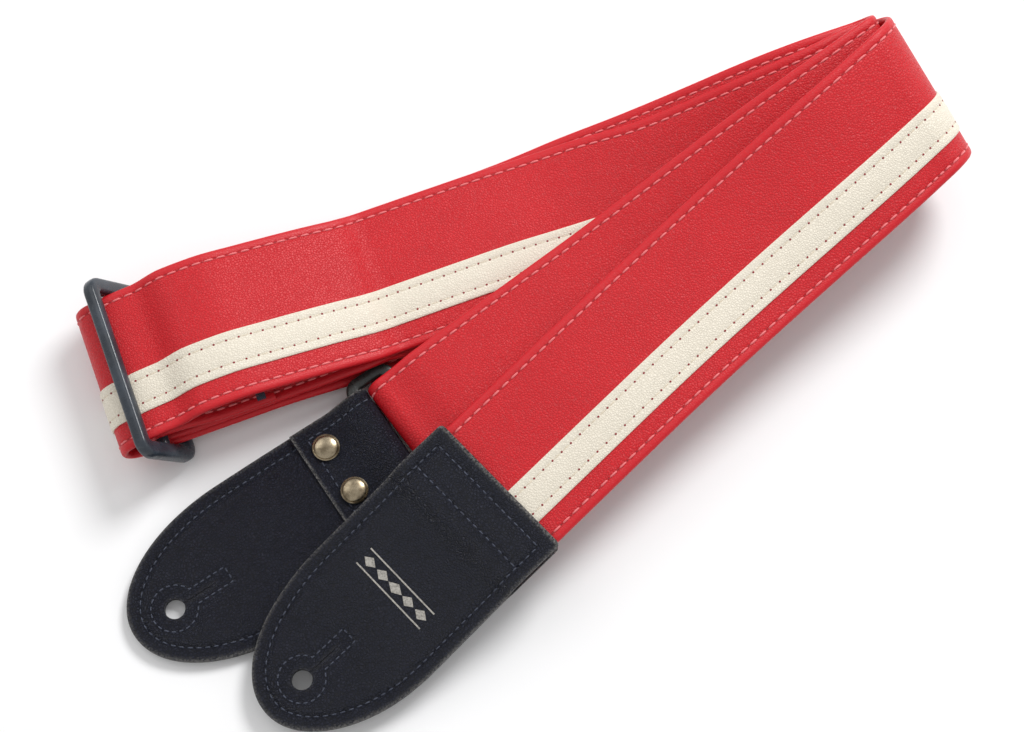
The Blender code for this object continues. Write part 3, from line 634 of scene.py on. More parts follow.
def band(name, path, outline, material, wear=None):
    """The outline (across, out) carried along a path, closed at both ends."""
    points = []
    places = []
    for row, run in enumerate(path.run):
        shape = outline(run) if callable(outline) else outline
        for side, out in shape:
            spot = path.centres[row] + path.rulings[row] * side + path.normals[row] * out
            points.append(lean(spot))
            places.append((run, side))
    size = len(points) // len(path.run)
    faces = []
    for row in range(len(path.run) - 1):
        a = row * size
        b = a + size
        faces.extend((a + k, b + k, b + (k + 1) % size, a + (k + 1) % size) for k in range(size))
    faces.append(tuple(range(size)))
    last = (len(path.run) - 1) * size
    faces.append(tuple(last + k for k in reversed(range(size))))
    maps = {"cut": places}
    if wear:
        maps["wear"] = [(wear(run, side), 0.0) for run, side in places]
    return piece(name, points, faces, material, maps)


def band_outline():
    """Rounded turned edges, a plump welt, a sunk stitch row and a flat middle, the same on both faces."""
    half = [(23.6, 1.16), (22.95, 1.1), (22.6, 0.96), (EDGE_ROW, 0.86), (22.0, 0.96), (21.6, 1.07)]
    half += [(20.4, 1.1), (15.5, 1.1), (10.5, 1.1), (5.0, 1.1)]
    face = half + [(0.0, 1.1)] + [(-side, out) for side, out in reversed(half)]
    radius = STRAP_THICK / 2
    middle = STRAP_WIDTH / 2 - radius
    turns = np.radians([90, 120, 150, 180, 210, 240, 270])
    left = [(-middle + radius * math.cos(a), radius * math.sin(a)) for a in turns]
    back = [(side, -out) for side, out in reversed(face)]
    right = [(-side, -out) for side, out in left]
    return face + left + back + right


def stripe_outline():
    """A thin sewn-on strip with rolled edges and two sunk rows."""
    middle = (STRIPE_FROM + STRIPE_TO) / 2
    half = [(6.8, 0.9), (6.8, 1.5), (6.55, 1.7), (6.1, 1.78), (4.5, 1.78), (4.15, 1.66)]
    half += [(3.9, 1.56), (3.65, 1.66), (3.25, 1.77), (0.0, 1.8)]
    right = [(middle + side, out) for side, out in half]
    left = [(middle - side, out) for side, out in reversed(half[:-1])]
    return right + left


class Strands:
    """Many short threads in one mesh."""

    def __init__(self):
        self.points = []
        self.faces = []

    def stitch(self, spots, normals, radius, sides=6):
        """One stitch through five spots: thin at its ends, which dip into the surface."""
        base = len(self.points)
        ahead = spots[-1] - spots[0]
        ahead = ahead / np.linalg.norm(ahead)
        for spot, normal, size, dip in zip(spots, normals, STITCH_SIZES, STITCH_DIPS):
            across_it = np.cross(ahead, normal)
            centre = spot + normal * radius * dip
            for k in range(sides):
                turn = math.tau * k / sides
                offset = across_it * math.cos(turn) + normal * math.sin(turn) * 0.85
                self.points.append(centre + offset * radius * size)
        add_walls(self.faces, base, sides, len(STITCH_SIZES))
        add_caps(self.faces, base, sides, len(STITCH_SIZES))

    def through(self, surface, begin, length, radius):
        """One stitch from a place on: surface(place) gives a point and a normal."""
        spots, normals = zip(*(surface(begin + length * part) for part in STITCH_SPOTS))
        self.stitch(spots, normals, radius)

    def row(self, surface, start, end, pitch, length, radius):
        """Stitches along a line."""
        for number in range(int((end - start) / pitch)):
            self.through(surface, start + (number + 0.5) * pitch - length / 2, length, radius)

    def dots(self, surface, start, end, pitch, radius, sides=8):
        """Low round caps between stitches, as the mouths of needle holes: dark caps that paint the shade in
        the holes.
        """
        count = int((end - start) / pitch) + 1
        for number in range(count):
            spot, normal = surface(start + number * pitch)
            side = np.cross(normal, UP if abs(normal[2]) < 0.9 else np.array([1.0, 0.0, 0.0]))
            side = side / np.linalg.norm(side)
            other = np.cross(normal, side)
            base = len(self.points)
            for size, lift in NEEDLE_RINGS:
                for k in range(sides):
                    turn = math.tau * k / sides
                    flat = side * math.cos(turn) + other * math.sin(turn)
                    self.points.append(spot + flat * radius * size + normal * lift)
            add_walls(self.faces, base, sides, len(NEEDLE_RINGS))
            add_caps(self.faces, base, sides, len(NEEDLE_RINGS))

    def make(self, name, material, slot):
        return piece(name, self.points, self.faces, material)


# The strap band's route, as in the CAD


def strap_paths():
    """The long strap, its fixed end with the sewn loop, and the end under the front tab."""
    front_line = (FRONT_ANGLE, FRONT_OFFSET)
    middle_line = (MIDDLE_ANGLE, MIDDLE_OFFSET)
    left_line = (LEFT_ANGLE, LEFT_OFFSET)
    fixed_line = (LEFT_ANGLE, FIXED_OFFSET)
    outer_bisector = (FRONT_ANGLE + LEFT_ANGLE) / 2
    outer_skew = (FRONT_ANGLE - LEFT_ANGLE) / 2
    inner_bisector = (MIDDLE_ANGLE + LEFT_ANGLE) / 2
    inner_skew = (MIDDLE_ANGLE - LEFT_ANGLE) / 2
    outer_rise = math.tan(math.radians(outer_skew)) * math.pi
    inner_rise = math.tan(math.radians(inner_skew)) * math.pi
    outer_at = fold_place(*front_line, *left_line, outer_bisector, outer_rise * OUTER_RADIUS)
    inner_at = fold_place(*middle_line, *left_line, inner_bisector, inner_rise * INNER_RADIUS)
    middle_at = fold_place(*middle_line, *fixed_line, inner_bisector, inner_rise * MIDDLE_RADIUS)
    front_end, front_entry = line_in_fold(*front_line, outer_bisector, outer_at)
    bottom_start, _ = line_in_fold(*left_line, outer_bisector, outer_at)
    top_end, top_entry = line_in_fold(*left_line, inner_bisector, inner_at)
    lower_start, _ = line_in_fold(*middle_line, inner_bisector, inner_at)
    upper_end, upper_entry = line_in_fold(*middle_line, inner_bisector, middle_at)
    fixed_start, _ = line_in_fold(*fixed_line, inner_bisector, middle_at)
    turn_at = SLIDER_AT - SLIDER_TURN_BACK
    front_high = OUTER_LOW + 2 * OUTER_RADIUS
    front_knots = [
        (FRONT_SEAM - 40.0, 14.5), (FRONT_SEAM, SEAM_HEIGHT), (20.0, 24.0), (80.0, 28.5),
        (front_end - 16.0, front_high), (front_end, front_high),
    ]
    bottom_knots = [
        (turn_at, BOTTOM_AT_SLIDER), (SLIDER_AT + 36.0, BOTTOM_AT_SLIDER), (SLIDER_AT + 76.0, 2.3),
        (bottom_start - 85.0, 2.3), (bottom_start - 14.0, OUTER_LOW), (bottom_start, OUTER_LOW),
    ]
    top_knots = [
        (turn_at, TOP_AT_SLIDER), (SLIDER_AT + 6.0, TOP_AT_SLIDER), (SLIDER_AT + 17.0, 22.3),
        (SLIDER_AT + 27.0, 22.9), (SLIDER_AT + 42.0, 20.4), (CROSSING - 10.0, 12.7), (CROSSING - 1.0, 8.3),
        (top_end - 75.0, 8.6), (top_end - 14.0, INNER_LOW), (top_end, INNER_LOW),
    ]
    top_drift = [
        (turn_at, 0.0), (SLIDER_AT - 2.0, 0.9), (SLIDER_AT + 14.0, 1.8), (CROSSING - 11.0, 1.9),
        (CROSSING - 1.0, 3.2), (CROSSING + 38.0, 3.1), (top_end - 106.0, 1.5), (top_end - 76.0, -2.4),
        (top_end - 49.0, -3.2), (top_end - 27.0, -2.6), (top_end, 0.0),
    ]
    lower_high = INNER_LOW + 2 * INNER_RADIUS
    lower_ring = RING_TURN_HEIGHT - RING_TURN_RADIUS
    lower_knots = [
        (RING_TURN_AT, lower_ring), (RING_TURN_AT + 5.3, lower_ring + 0.2), (RING_TURN_AT + 13.0, 11.9),
        (RING_TURN_AT + 34.0, 12.2), (RING_TURN_AT + 60.0, 13.6), (RING_TURN_AT + 120.0, 16.5),
        (lower_start - 14.0, lower_high), (lower_start, lower_high),
    ]
    upper_ring = RING_TURN_HEIGHT + RING_TURN_RADIUS
    upper_high = MIDDLE_LOW + 2 * MIDDLE_RADIUS
    upper_knots = [
        (RING_TURN_AT, upper_ring), (RING_TURN_AT + 13.0, 14.7), (RING_TURN_AT + 34.0, 16.0),
        (RING_TURN_AT + 60.0, 17.6), (RING_TURN_AT + 120.0, 21.0), (upper_end - 14.0, upper_high),
        (upper_end, upper_high),
    ]
    loop_low = SLIDER_HEIGHT - LOOP_RADIUS
    fixed_end = SLIDER_AT + FLAP_LENGTH + 6.0
    fixed_knots = [
        (SLIDER_AT, loop_low), (SLIDER_AT + 44.0, loop_low + 0.2), (CROSSING - 20.0, 9.4),
        (CROSSING - 10.0, 9.1), (CROSSING - 1.0, 5.65), (fixed_start - 75.0, 5.9),
        (fixed_start - 14.0, MIDDLE_LOW), (fixed_start, MIDDLE_LOW),
    ]
    fixed_drift = [
        (CROSSING - 20.0, 0.0), (CROSSING, 1.2), (CROSSING + 38.0, 3.0), (fixed_start - 110.0, 3.6),
        (fixed_start - 80.0, 1.9), (fixed_start - 50.0, 0.6), (fixed_start, 0.0),
    ]
    loop_high = SLIDER_HEIGHT + LOOP_RADIUS
    flap_knots = [
        (SLIDER_AT, loop_high), (SLIDER_AT + 5.0, loop_high - 0.1), (SLIDER_AT + 22.0, loop_low + 2.8),
        (SLIDER_AT + FLAP_LENGTH, loop_low + 2.55),
    ]
    front = run_stations(*front_line, FRONT_SEAM, front_end, front_knots, True, 0.0, outer_skew, 96)
    tucked = run_stations(
        *front_line, FRONT_SEAM - TUCKED_IN, FRONT_SEAM + 0.6, front_knots, True, count=12
    )
    outer = fold_stations(
        front_entry, outer_bisector, OUTER_LOW, OUTER_RADIUS, outer_skew, True, True, count=49
    )
    bottom = run_stations(*left_line, bottom_start, turn_at, bottom_knots, False, outer_skew, 0.0, 120)
    turn = fold_stations(
        plan_point(*left_line, turn_at), LEFT_ANGLE + 180.0, BOTTOM_AT_SLIDER,
        (TOP_AT_SLIDER - BOTTOM_AT_SLIDER) / 2, 0.0, False, True, count=31,
    )
    top = run_stations(
        *left_line, turn_at, top_end, top_knots, True, 0.0, -inner_skew, 120, drift=top_drift
    )
    inner = fold_stations(
        top_entry, inner_bisector, INNER_LOW, INNER_RADIUS, -inner_skew, False, False, count=31
    )
    lower = run_stations(*middle_line, lower_start, RING_TURN_AT, lower_knots, False, -inner_skew, 0.0, 110)
    ring_turn = fold_stations(
        plan_point(*middle_line, RING_TURN_AT), MIDDLE_ANGLE + 180.0, lower_ring, RING_TURN_RADIUS, 0.0,
        False, True, count=31,
    )
    upper = run_stations(*middle_line, RING_TURN_AT, upper_end, upper_knots, True, 0.0, inner_skew, 110)
    middle = fold_stations(
        upper_entry, inner_bisector, MIDDLE_LOW, MIDDLE_RADIUS, inner_skew, True, True, count=41
    )
    fixed = run_stations(
        *fixed_line, fixed_start, fixed_end, fixed_knots, False, inner_skew, 0.0, 110, drift=fixed_drift
    )
    back = run_stations(*fixed_line, fixed_end, SLIDER_AT, fixed_knots, False, count=24)
    around = fold_stations(
        plan_point(*fixed_line, SLIDER_AT), LEFT_ANGLE + 180.0, loop_low, LOOP_RADIUS, 0.0, False, True,
        count=31,
    )
    flap = run_stations(*fixed_line, SLIDER_AT, SLIDER_AT + FLAP_LENGTH, flap_knots, True, count=24)
    long_path = Path(front, outer, bottom, turn, top, inner, lower, ring_turn, upper, middle)
    return long_path, Path(fixed, back, around, flap), Path(tucked), Path(fixed)


long_path, end_path, tucked_path, fixed_path = strap_paths()
STRAP = ["front_run", "outer_fold", "bottom_run", "slider_turn", "top_run", "inner_fold"]
STRAP += ["lower_middle_run", "ring_turn", "upper_middle_run", "middle_fold"]
slider_start = to_row(plan_point(LEFT_ANGLE, FIXED_OFFSET, 60.0))
slider_end = to_row(plan_point(LEFT_ANGLE, FIXED_OFFSET, SLIDER_AT + FLAP_LENGTH + 8.0))
seam_start = to_row(plan_point(FRONT_ANGLE, FRONT_OFFSET, FRONT_SEAM))
seam_end = to_row(plan_point(FRONT_ANGLE, FRONT_OFFSET, FRONT_SEAM - 22.0))


def follow(made, how):
    """Ride on a body; the fixed end's and the front seam's pieces stay where they are, with their transform
    baked in.
    """
    if how == "slider_end":
        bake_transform(made)
    elif how == "front_seam":
        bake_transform(made)
    else:
        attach(made, how)
    return made


def dress_strap(prefix, path, stripe_path, how, replaced, stripe_replaced, trim):
    """Band, stripe, edge stitches, stripe stitches and needle holes of one length of strap."""
    body = follow(band(prefix + "_band", path, band_outline(), RED), how)
    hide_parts(*replaced)
    edge = Strands()
    sewn = Strands()
    holes = Strands()
    for side in (-EDGE_ROW, EDGE_ROW):
        for face in (1.0, -1.0):

            def edge_surface(distance, side=side, face=face, out=1.08):
                spot, normal = path.at(distance, side, out * face)
                return spot, normal * face

            end = path.length - trim
            edge.row(edge_surface, trim, end, EDGE_PITCH, EDGE_STITCH, EDGE_THREAD)
            holes.dots(lambda d: edge_surface(d, out=0.9), trim, end, EDGE_PITCH, EDGE_HOLE)
    edge_threads = follow(edge.make(prefix + "_edge_stitches", RED_THREAD, "red_vinyl"), how)
    stripe = follow(band(prefix + "_stripe", stripe_path, stripe_outline(), CREAM), how)
    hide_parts(*stripe_replaced)
    for side in STRIPE_ROWS:

        def row_surface(distance, side=side, out=1.6):
            return stripe_path.at(distance, side, out)

        end = stripe_path.length - 2
        sewn.row(row_surface, trim, end, STRIPE_PITCH, STRIPE_STITCH, STRIPE_THREAD)
        holes.dots(lambda d: row_surface(d, out=1.72), trim, end, STRIPE_PITCH, STRIPE_HOLE)
    going = [
        edge_threads,
        follow(sewn.make(prefix + "_stripe_stitches", CREAM_THREAD, "cream_vinyl"), how),
        follow(holes.make(prefix + "_needle_holes", NEEDLE_HOLE_SHADE, "red_vinyl"), how),
        stripe,
    ]


STRIPES = [name + "_stripe" for name in STRAP]
dress_strap("strap", long_path, long_path, "strap", STRAP, STRIPES, 1.0)
fixed_nodes = ["fixed_run", "end_loop"]
dress_strap("fixed_end", end_path, fixed_path, "slider_end", fixed_nodes, ["fixed_run_stripe"], 3.0)
tucked = band("tucked_end_band", tucked_path, band_outline(), RED)
follow(tucked, "front_seam")
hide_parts("front_end")
tucked_stripe = band("tucked_end_stripe", tucked_path, stripe_outline(), CREAM)
follow(tucked_stripe, "front_seam")
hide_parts("front_end_stripe")


def build_bar_tack():
    """A dense black tack across the flap's end."""
    tack = Strands()
    for number in range(9):
        distance = end_path.length - 5.6 + number * 0.32
        spots, normals = zip(*(end_path.at(distance, 21.2 + p, 1.2) for p in (0.0, 0.7, 1.6, 2.5, 3.2)))
        tack.stitch(spots, normals, TACK_THREAD)
    follow(tack.make("flap_bar_tack", BLACK_THREAD, "black_leather"), "slider_end")


build_bar_tack()


# Leather tabs


def shifted(line, closed, inward):
    """A line moved to its left by a distance."""
    line = np.asarray(line, float)
    ahead = np.roll(line, -1, axis=0) - np.roll(line, 1, axis=0) if closed else np.gradient(line, axis=0)
    ahead = ahead / np.linalg.norm(ahead, axis=1)[:, None]
    return line + np.stack([-ahead[:, 1], ahead[:, 0]], axis=1) * inward


def distance_to(points, line, closed=True):
    """Distance from each point to a line of straight stretches."""
    points = np.asarray(points, float)
    line = np.asarray(line, float)
    starts = line if closed else line[:-1]
    ends = np.roll(line, -1, axis=0) if closed else line[1:]
    best = np.full(len(points), 1e9)
    for start, end in zip(starts, ends):
        step = end - start
        size = max(float(step @ step), 1e-12)
        part = np.clip(((points - start) @ step) / size, 0.0, 1.0)
        near = start + part[:, None] * step
        best = np.minimum(best, np.linalg.norm(points - near, axis=1))
    return best


def is_inside(points, line):
    points = np.asarray(points, float)
    inside = np.zeros(len(points), bool)
    count = len(line)
    for k in range(count):
        (ax, ay), (bx, by) = line[k], line[(k + 1) % count]
        crosses = (ay > points[:, 1]) != (by > points[:, 1])
        with np.errstate(divide="ignore", invalid="ignore"):
            at = (bx - ax) * (points[:, 1] - ay) / (by - ay) + ax
        inside ^= crosses & (points[:, 0] < at)
    return inside


def resampled(line, step, closed):
    """Points every step along a line."""
    line = np.array(list(line) + [line[0]] * closed, float)
    run = run_along(line)
    places = np.linspace(0.0, run[-1], max(int(run[-1] / step), 2) + 1)
    found = spots_at(places, run, line)
    return found[:-1] if closed else found


def tab_outline(length):
    """The tab's outline from above, distance from the tip and across, going round to the left."""
    reach = TAB_LENGTH - TAB_STRAIGHT
    half = TAB_WIDTH / 2
    turns = np.linspace(math.pi / 2, -math.pi / 2, 61)
    curve = [(reach * (1.0 - math.cos(a)), half * math.sin(a)) for a in turns]
    corner = 1.2
    cut_by = corner * 0.3
    right = [(length - corner, -half), (length - cut_by, -half + cut_by), (length, -half + corner)]
    left = [(length, half - corner), (length - cut_by, half - cut_by), (length - corner, half)]
    return resampled(curve + right + left, 1.0, True)


def open_circle(radius, half_gap, count):
    """The button hole's circle, from the upper side of a gap towards the neck round to its lower side."""
    start = math.asin(half_gap / radius)
    turns = np.linspace(start, math.tau - start, count)
    return [(BUTTON_HOLE_FROM_TIP + radius * math.cos(a), radius * math.sin(a)) for a in turns]


def keyhole_outline():
    circle = open_circle(BUTTON_HOLE_RADIUS, SLIT_SHOWN, 41)
    end = BUTTON_HOLE_FROM_TIP + SLIT_LENGTH
    places = np.linspace(end, BUTTON_HOLE_FROM_TIP + BUTTON_HOLE_RADIUS + 0.8, 12)
    below = [(p, -SLIT_SHOWN) for p in reversed(places)]
    above = [(p, SLIT_SHOWN) for p in places]
    return np.array(above + circle + below)


def keyhole_row():
    """The stitched outline round the button hole and its neck."""
    end = BUTTON_HOLE_FROM_TIP + KEY_END
    return np.array([(end, KEY_NECK), *open_circle(KEY_RADIUS, KEY_NECK, 49), (end, -KEY_NECK)])


def perimeter_row(length, stop):
    """The stitch row round the tab, open at its straight end."""
    row = shifted(tab_outline(length + 20.0), True, TAB_ROW)
    row = row[row[:, 0] < length - stop]
    gaps = np.linalg.norm(np.diff(row, axis=0), axis=1)
    return np.roll(row, -int(np.argmax(gaps)) - 1, axis=0) if gaps.max() > 3.0 else row


def rise(values, reach):
    """One at zero, falling in a straight line to nothing at the reach."""
    return np.clip(1.0 - values / reach, 0.0, 1.0)


def bell(values, width):
    return np.exp(-((values / width) ** 2))


class Ply:
    """One leather ply: its surface in space and its relief. Side is 1 for an upper ply, -1 for a lower."""

    def __init__(self, angle, offset, tip, length, knots, spread, side, cross_rows):
        self.angle = angle
        self.offset = offset
        self.tip = tip
        self.length = length
        self.knots = knots
        self.spread = spread
        self.side = side
        self.outline = tab_outline(length)
        self.hole = keyhole_outline()
        self.key_row = keyhole_row()
        self.edge_row = perimeter_row(length, CROSS_ROWS[0] if cross_rows else 0.5)
        self.cross = [
            np.array([(length - place, -CROSS_HALF), (length - place, CROSS_HALF)]) for place in cross_rows
        ]

    def relief(self, points):
        """How far the outer face stands off the plain ply: padded middle, sunk keyhole and stitch rows."""
        edge = distance_to(points, self.outline)
        height = 0.6 * (1.0 - bell(np.maximum(edge - TAB_ROW, 0.0), 1.3))
        height -= 0.34 * rise(edge, 0.7) ** 2
        key_edge = distance_to(points, self.key_row)
        height -= 0.5 * np.where(is_inside(points, self.key_row), np.clip(key_edge / 0.9, 0.0, 1.0), 0.0)
        height -= 0.2 * rise(distance_to(points, self.hole), 0.8) ** 2
        groove = bell(distance_to(points, self.edge_row, False), 0.55)
        groove = np.maximum(groove, bell(key_edge, 0.5))
        for line in self.cross:
            groove = np.maximum(groove, bell(distance_to(points, line, False), 0.6))
        return height - 0.5 * groove

    def place(self, point, out):
        """The point in space at (from tip, across), and the outer normal there."""
        where = self.tip + point[0]
        levels = [
            smooth_heights(self.knots, p) + self.side * smooth_heights(self.spread, p)
            for p in (where - SLOPE_STEP, where, where + SLOPE_STEP)
        ]
        slope = (levels[2] - levels[0]) / (2 * SLOPE_STEP)
        normal = np.cross(along(self.angle) + UP * slope, across(self.angle))
        normal = normal / np.linalg.norm(normal)
        spot = plan_point(self.angle, self.offset + point[1], where) + UP * levels[1]
        return spot + normal * out, normal

    def outer(self, points, lift=0.0):
        """Spots and normals on the outer face."""
        heights = self.relief(points) + PLY_THICK / 2 + lift
        found = [self.place(p, self.side * h) for p, h in zip(points, heights)]
        return [f[0] for f in found], [f[1] * self.side for f in found]

    def plan(self):
        """Triangles of the ply in plan, finer along its edge and its stitch rows, and their points."""
        loops = [self.outline, self.hole]
        edges = []
        for loop, first in zip(loops, (0, len(self.outline))):
            edges += [(first + k, first + (k + 1) % len(loop)) for k in range(len(loop))]
        extra = [shifted(self.outline, True, inset) for inset in (0.3, 0.7, 1.5, 2.6)]
        lines = [(self.edge_row, False), (self.key_row, True)] + [(line, False) for line in self.cross]
        for line, closed in lines:
            base = resampled(line, 0.9, closed)
            extra += [shifted(base, closed, shift) for shift in (-0.6, 0.0, 0.6)]
        u_places = np.arange(1.5, self.length, 1.5)
        v_places = np.arange(-TAB_WIDTH / 2 + 1.0, TAB_WIDTH / 2, 1.5)
        grid = np.array([(u + 0.4 * (n % 2), v) for n, v in enumerate(v_places) for u in u_places])
        near_lines = np.min([distance_to(grid, line, closed) for line, closed in lines], axis=0)
        extra.append(grid[near_lines > 1.1])
        inner = np.concatenate(extra)
        free = is_inside(inner, self.outline) & (distance_to(inner, self.outline) > 0.25)
        free &= ~is_inside(inner, self.hole) & (distance_to(inner, self.hole) > 0.3)
        points = np.concatenate(loops + [thinned(inner[free], 0.35)])
        result = delaunay_2d_cdt([tuple(p) for p in points], edges, [], 0, 1e-6)
        flat = np.array([tuple(v) for v in result[0]])
        triangles = np.array([tuple(f) for f in result[2]])
        middles = flat[triangles].mean(axis=1)
        kept = triangles[is_inside(middles, self.outline) & ~is_inside(middles, self.hole)]
        return flat, kept.tolist()

    def wear(self, flat):
        """How scuffed each point is: the cut edges, most of all the straight one, and the hole's rim."""
        edge = distance_to(flat, self.outline)
        straight = np.clip((flat[:, 0] - self.length + 2.0) / 2.0, 0.0, 1.0)
        worn = np.clip(1.15 - edge / 0.9, 0.0, 1.0) * (0.6 + 1.3 * straight)
        worn = worn + 0.5 * rise(edge, TAB_ROW) * straight
        worn = np.maximum(worn, 0.1 * rise(distance_to(flat, self.hole), 0.6))
        return np.stack([np.clip(worn, 0.0, 1.0), np.zeros(len(flat))], axis=1)

    def make(self, name):
        """The ply's closed mesh: a fine outer face, a plain inner face, and walls at its edge and hole."""
        flat, triangles = self.plan()
        spots, _ = self.outer(flat)
        under = [self.place(p, -self.side * PLY_THICK / 2)[0] for p in flat]
        size = len(flat)
        faces = []
        pairs = {}
        for a, b, c in triangles:
            faces.append((a, b, c) if self.side > 0 else (a, c, b))
            lower = (size + a, size + c, size + b)
            faces.append(lower if self.side > 0 else (lower[0], lower[2], lower[1]))
            pairs.update(dict.fromkeys(((a, b), (b, c), (c, a))))
        for a, b in pairs:
            if (b, a) not in pairs:
                wall = (b, a, size + a, size + b)
                faces.append(wall if self.side > 0 else wall[::-1])
        wear = self.wear(flat)
        maps = {"cut": np.concatenate([flat, flat]), "wear": np.concatenate([wear, wear])}
        return piece(name, spots + under, faces, BLACK, maps, 50.0)

    def sew(self, strands, line, closed, pitch=TAB_PITCH, length=TAB_STITCH):
        """Stitches along a line on the outer face."""
        line = np.concatenate([line, line[:1]]) if closed else line
        run = run_along(line)
        count = int(run[-1] / pitch)
        step = run[-1] / count
        for number in range(count):
            begin = (number + 0.5) * step - length / 2
            points = spots_at(begin + length * np.array(STITCH_SPOTS), run, line)
            strands.stitch(*self.outer(points, 0.1), TAB_THREAD)


def thinned(points, spacing):
    """Points with near doubles left out, in order."""
    seen = set()
    kept = []
    for point in points:
        key = (round(point[0] / spacing), round(point[1] / spacing))
        if key in seen:
            continue
        seen.add(key)
        kept.append(point)
    return np.array(kept)


def front_plies():
    tip = FRONT_SEAM - TAB_LENGTH
    strap_end = FRONT_SEAM - TUCKED_IN
    knots = [
        (tip, 5.6), (tip + 26.0, 5.6), (tip + 48.0, 9.2), (tip + 66.0, 13.2), (strap_end, 16.7),
        (FRONT_SEAM, SEAM_HEIGHT), (FRONT_SEAM + 40.0, 22.5),
    ]
    closed = PLY_THICK / 2 + 0.15
    over_stripe = STRAP_THICK / 2 + GAP + STRIPE_THICK + GAP + PLY_THICK / 2 + 0.1
    under_strap = STRAP_THICK / 2 + GAP + PLY_THICK / 2 + 0.25
    plies = {}
    for name, opened, side in (("front_tab_top", over_stripe, 1.0), ("front_tab_bottom", under_strap, -1.0)):
        spread = [(tip, closed), (strap_end - 7.0, closed), (strap_end - 0.7, opened), (FRONT_SEAM, opened)]
        plies[name] = Ply(FRONT_ANGLE, FRONT_OFFSET, tip, TAB_LENGTH, knots, spread, side, CROSS_ROWS)
    return plies


def rear_plies():
    knots = [
        (REAR_TIP, 2.0), (REAR_TIP + 30.0, 2.0), (LOOP_START - 12.0, 3.2), (LOOP_START, REAR_MIDDLE),
        (REAR_PLY_END, REAR_MIDDLE),
    ]
    spread = [(REAR_TIP, PLY_THICK / 2 + 0.15), (REAR_PLY_END, PLY_THICK / 2 + 0.15)]
    length = REAR_PLY_END - REAR_TIP
    return {
        name: Ply(REAR_ANGLE, REAR_OFFSET, REAR_TIP, length, knots, spread, side, ())
        for name, side in (("rear_tab_top", 1.0), ("rear_tab_bottom", -1.0))
    }


def dress_tab(prefix, plies, how):
    threads = Strands()
    for name, ply in plies.items():
        made = ply.make(name + "_leather")
        follow(made, how)
        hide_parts(name)
        ply.sew(threads, ply.edge_row, False)
        ply.sew(threads, ply.key_row, True, KEY_PITCH, KEY_STITCH)
        for line in ply.cross:
            ply.sew(threads, line, False)
    follow(threads.make(prefix + "_stitches", BLACK_THREAD, "black_leather"), how)


front = front_plies()
dress_tab("front_tab", front, "front_seam")
dress_tab("rear_tab", rear_plies(), "rear_tab")


def build_ornament(ply):
    """A plain printed band: two lines and a row of lozenges."""
    middle = TAB_LENGTH - 45.0
    shapes = []
    for level in (middle - 3.1, middle + 3.1):
        left, right = level - 0.24, level + 0.24
        for place in np.arange(-14.5, 14.5, 1.0):
            shapes.append([(left, place), (right, place), (right, place + 1.0), (left, place + 1.0)])
    for place in (-11.6, -5.8, 0.0, 5.8, 11.6):
        reach = 2.5 if place else 3.0
        near, far = (middle, place - reach), (middle, place + reach)
        shapes.append([(middle - 1.7, place), near, (middle + 1.7, place), far])
    points = []
    faces = []
    for shape in shapes:
        add_walls(faces, len(points), len(shape), 2)
        add_caps(faces, len(points), len(shape), 2)
        for lift in (-0.06, 0.06):
            points.extend(ply.outer(np.array(shape), lift)[0])
    follow(piece("front_tab_print", points, faces, PRINT), "front_seam")


build_ornament(front["front_tab_top"])


# Loop strip, rivets, ring and slider


def loop_path():
    """The folded strip's path round the ring's bar, and the level of its upper leg."""
    reach = PLY_THICK + 0.15 + GAP + LOOP_THICK / 2
    bar_at = RING_MIDDLE - (RING_WIDTH - RING_BAR) / 2
    radius = RING_BAR / 2 + GAP + LOOP_THICK / 2 + 0.25
    flat_to = RIVET_AT + RIVET_CAP_RADIUS + 0.8
    lines = []
    for way in (1.0, -1.0):
        level = REAR_MIDDLE + way * reach
        bend = RING_HEIGHT + way * radius
        lines.append([(LOOP_START, level), (flat_to, level), (bar_at, bend), (bar_at + 1.0, bend)])
    upper = run_stations(REAR_ANGLE, REAR_OFFSET, LOOP_START, bar_at, lines[0], True, count=44)
    around = fold_stations(
        plan_point(REAR_ANGLE, REAR_OFFSET, bar_at), REAR_ANGLE, RING_HEIGHT - radius, radius, 0.0,
        True, True, count=33,
    )
    lower = run_stations(REAR_ANGLE, REAR_OFFSET, bar_at, LOOP_START, lines[1], False, count=44)
    return Path(upper, around, lower), REAR_MIDDLE + reach


strip_path, strip_level = loop_path()


def strip_outline(distance):
    """A leather strip with a sunk row near each edge and near its ends."""
    from_end = min(distance, strip_path.length - distance)
    dent = 0.3 * math.exp(-(((from_end - TAB_ROW) / 0.55) ** 2))
    dent += 0.3 * max(0.0, 1.0 - from_end / 0.6) ** 2
    swell = 0.28 * (1.0 - math.exp(-((max(from_end - TAB_ROW, 0.0) / 1.4) ** 2)))
    thick = LOOP_THICK / 2
    half = TAB_WIDTH / 2
    row = half - TAB_ROW
    sides = [half, half - 0.25, half - 0.8, half - 2.0, row + 0.7, row + 0.3, row, row - 0.3, row - 0.7]
    drops = [0.5, 0.2, 0.03, 0.0, 0.06, 0.2, 0.3, 0.2, 0.04]
    face = [(side, thick - max(drop, dent)) for side, drop in zip(sides, drops)]
    face += [(side, thick - dent + swell) for side in (row - 2.0, row - 6.0, row - 12.0, row - 18.0, 0.0)]
    face += [(-side, out) for side, out in reversed(face[:-1])]
    back = [(-half, -thick + 0.3), (-half + 0.3, -thick), (0.0, -thick)]
    return face + back + [(half - 0.3, -thick), (half, -thick + 0.3)]


def strip_wear(distance, side):
    edge = min(distance, strip_path.length - distance, TAB_WIDTH / 2 - abs(side))
    return min(max(1.15 - edge / 0.8, 0.0), 1.0)


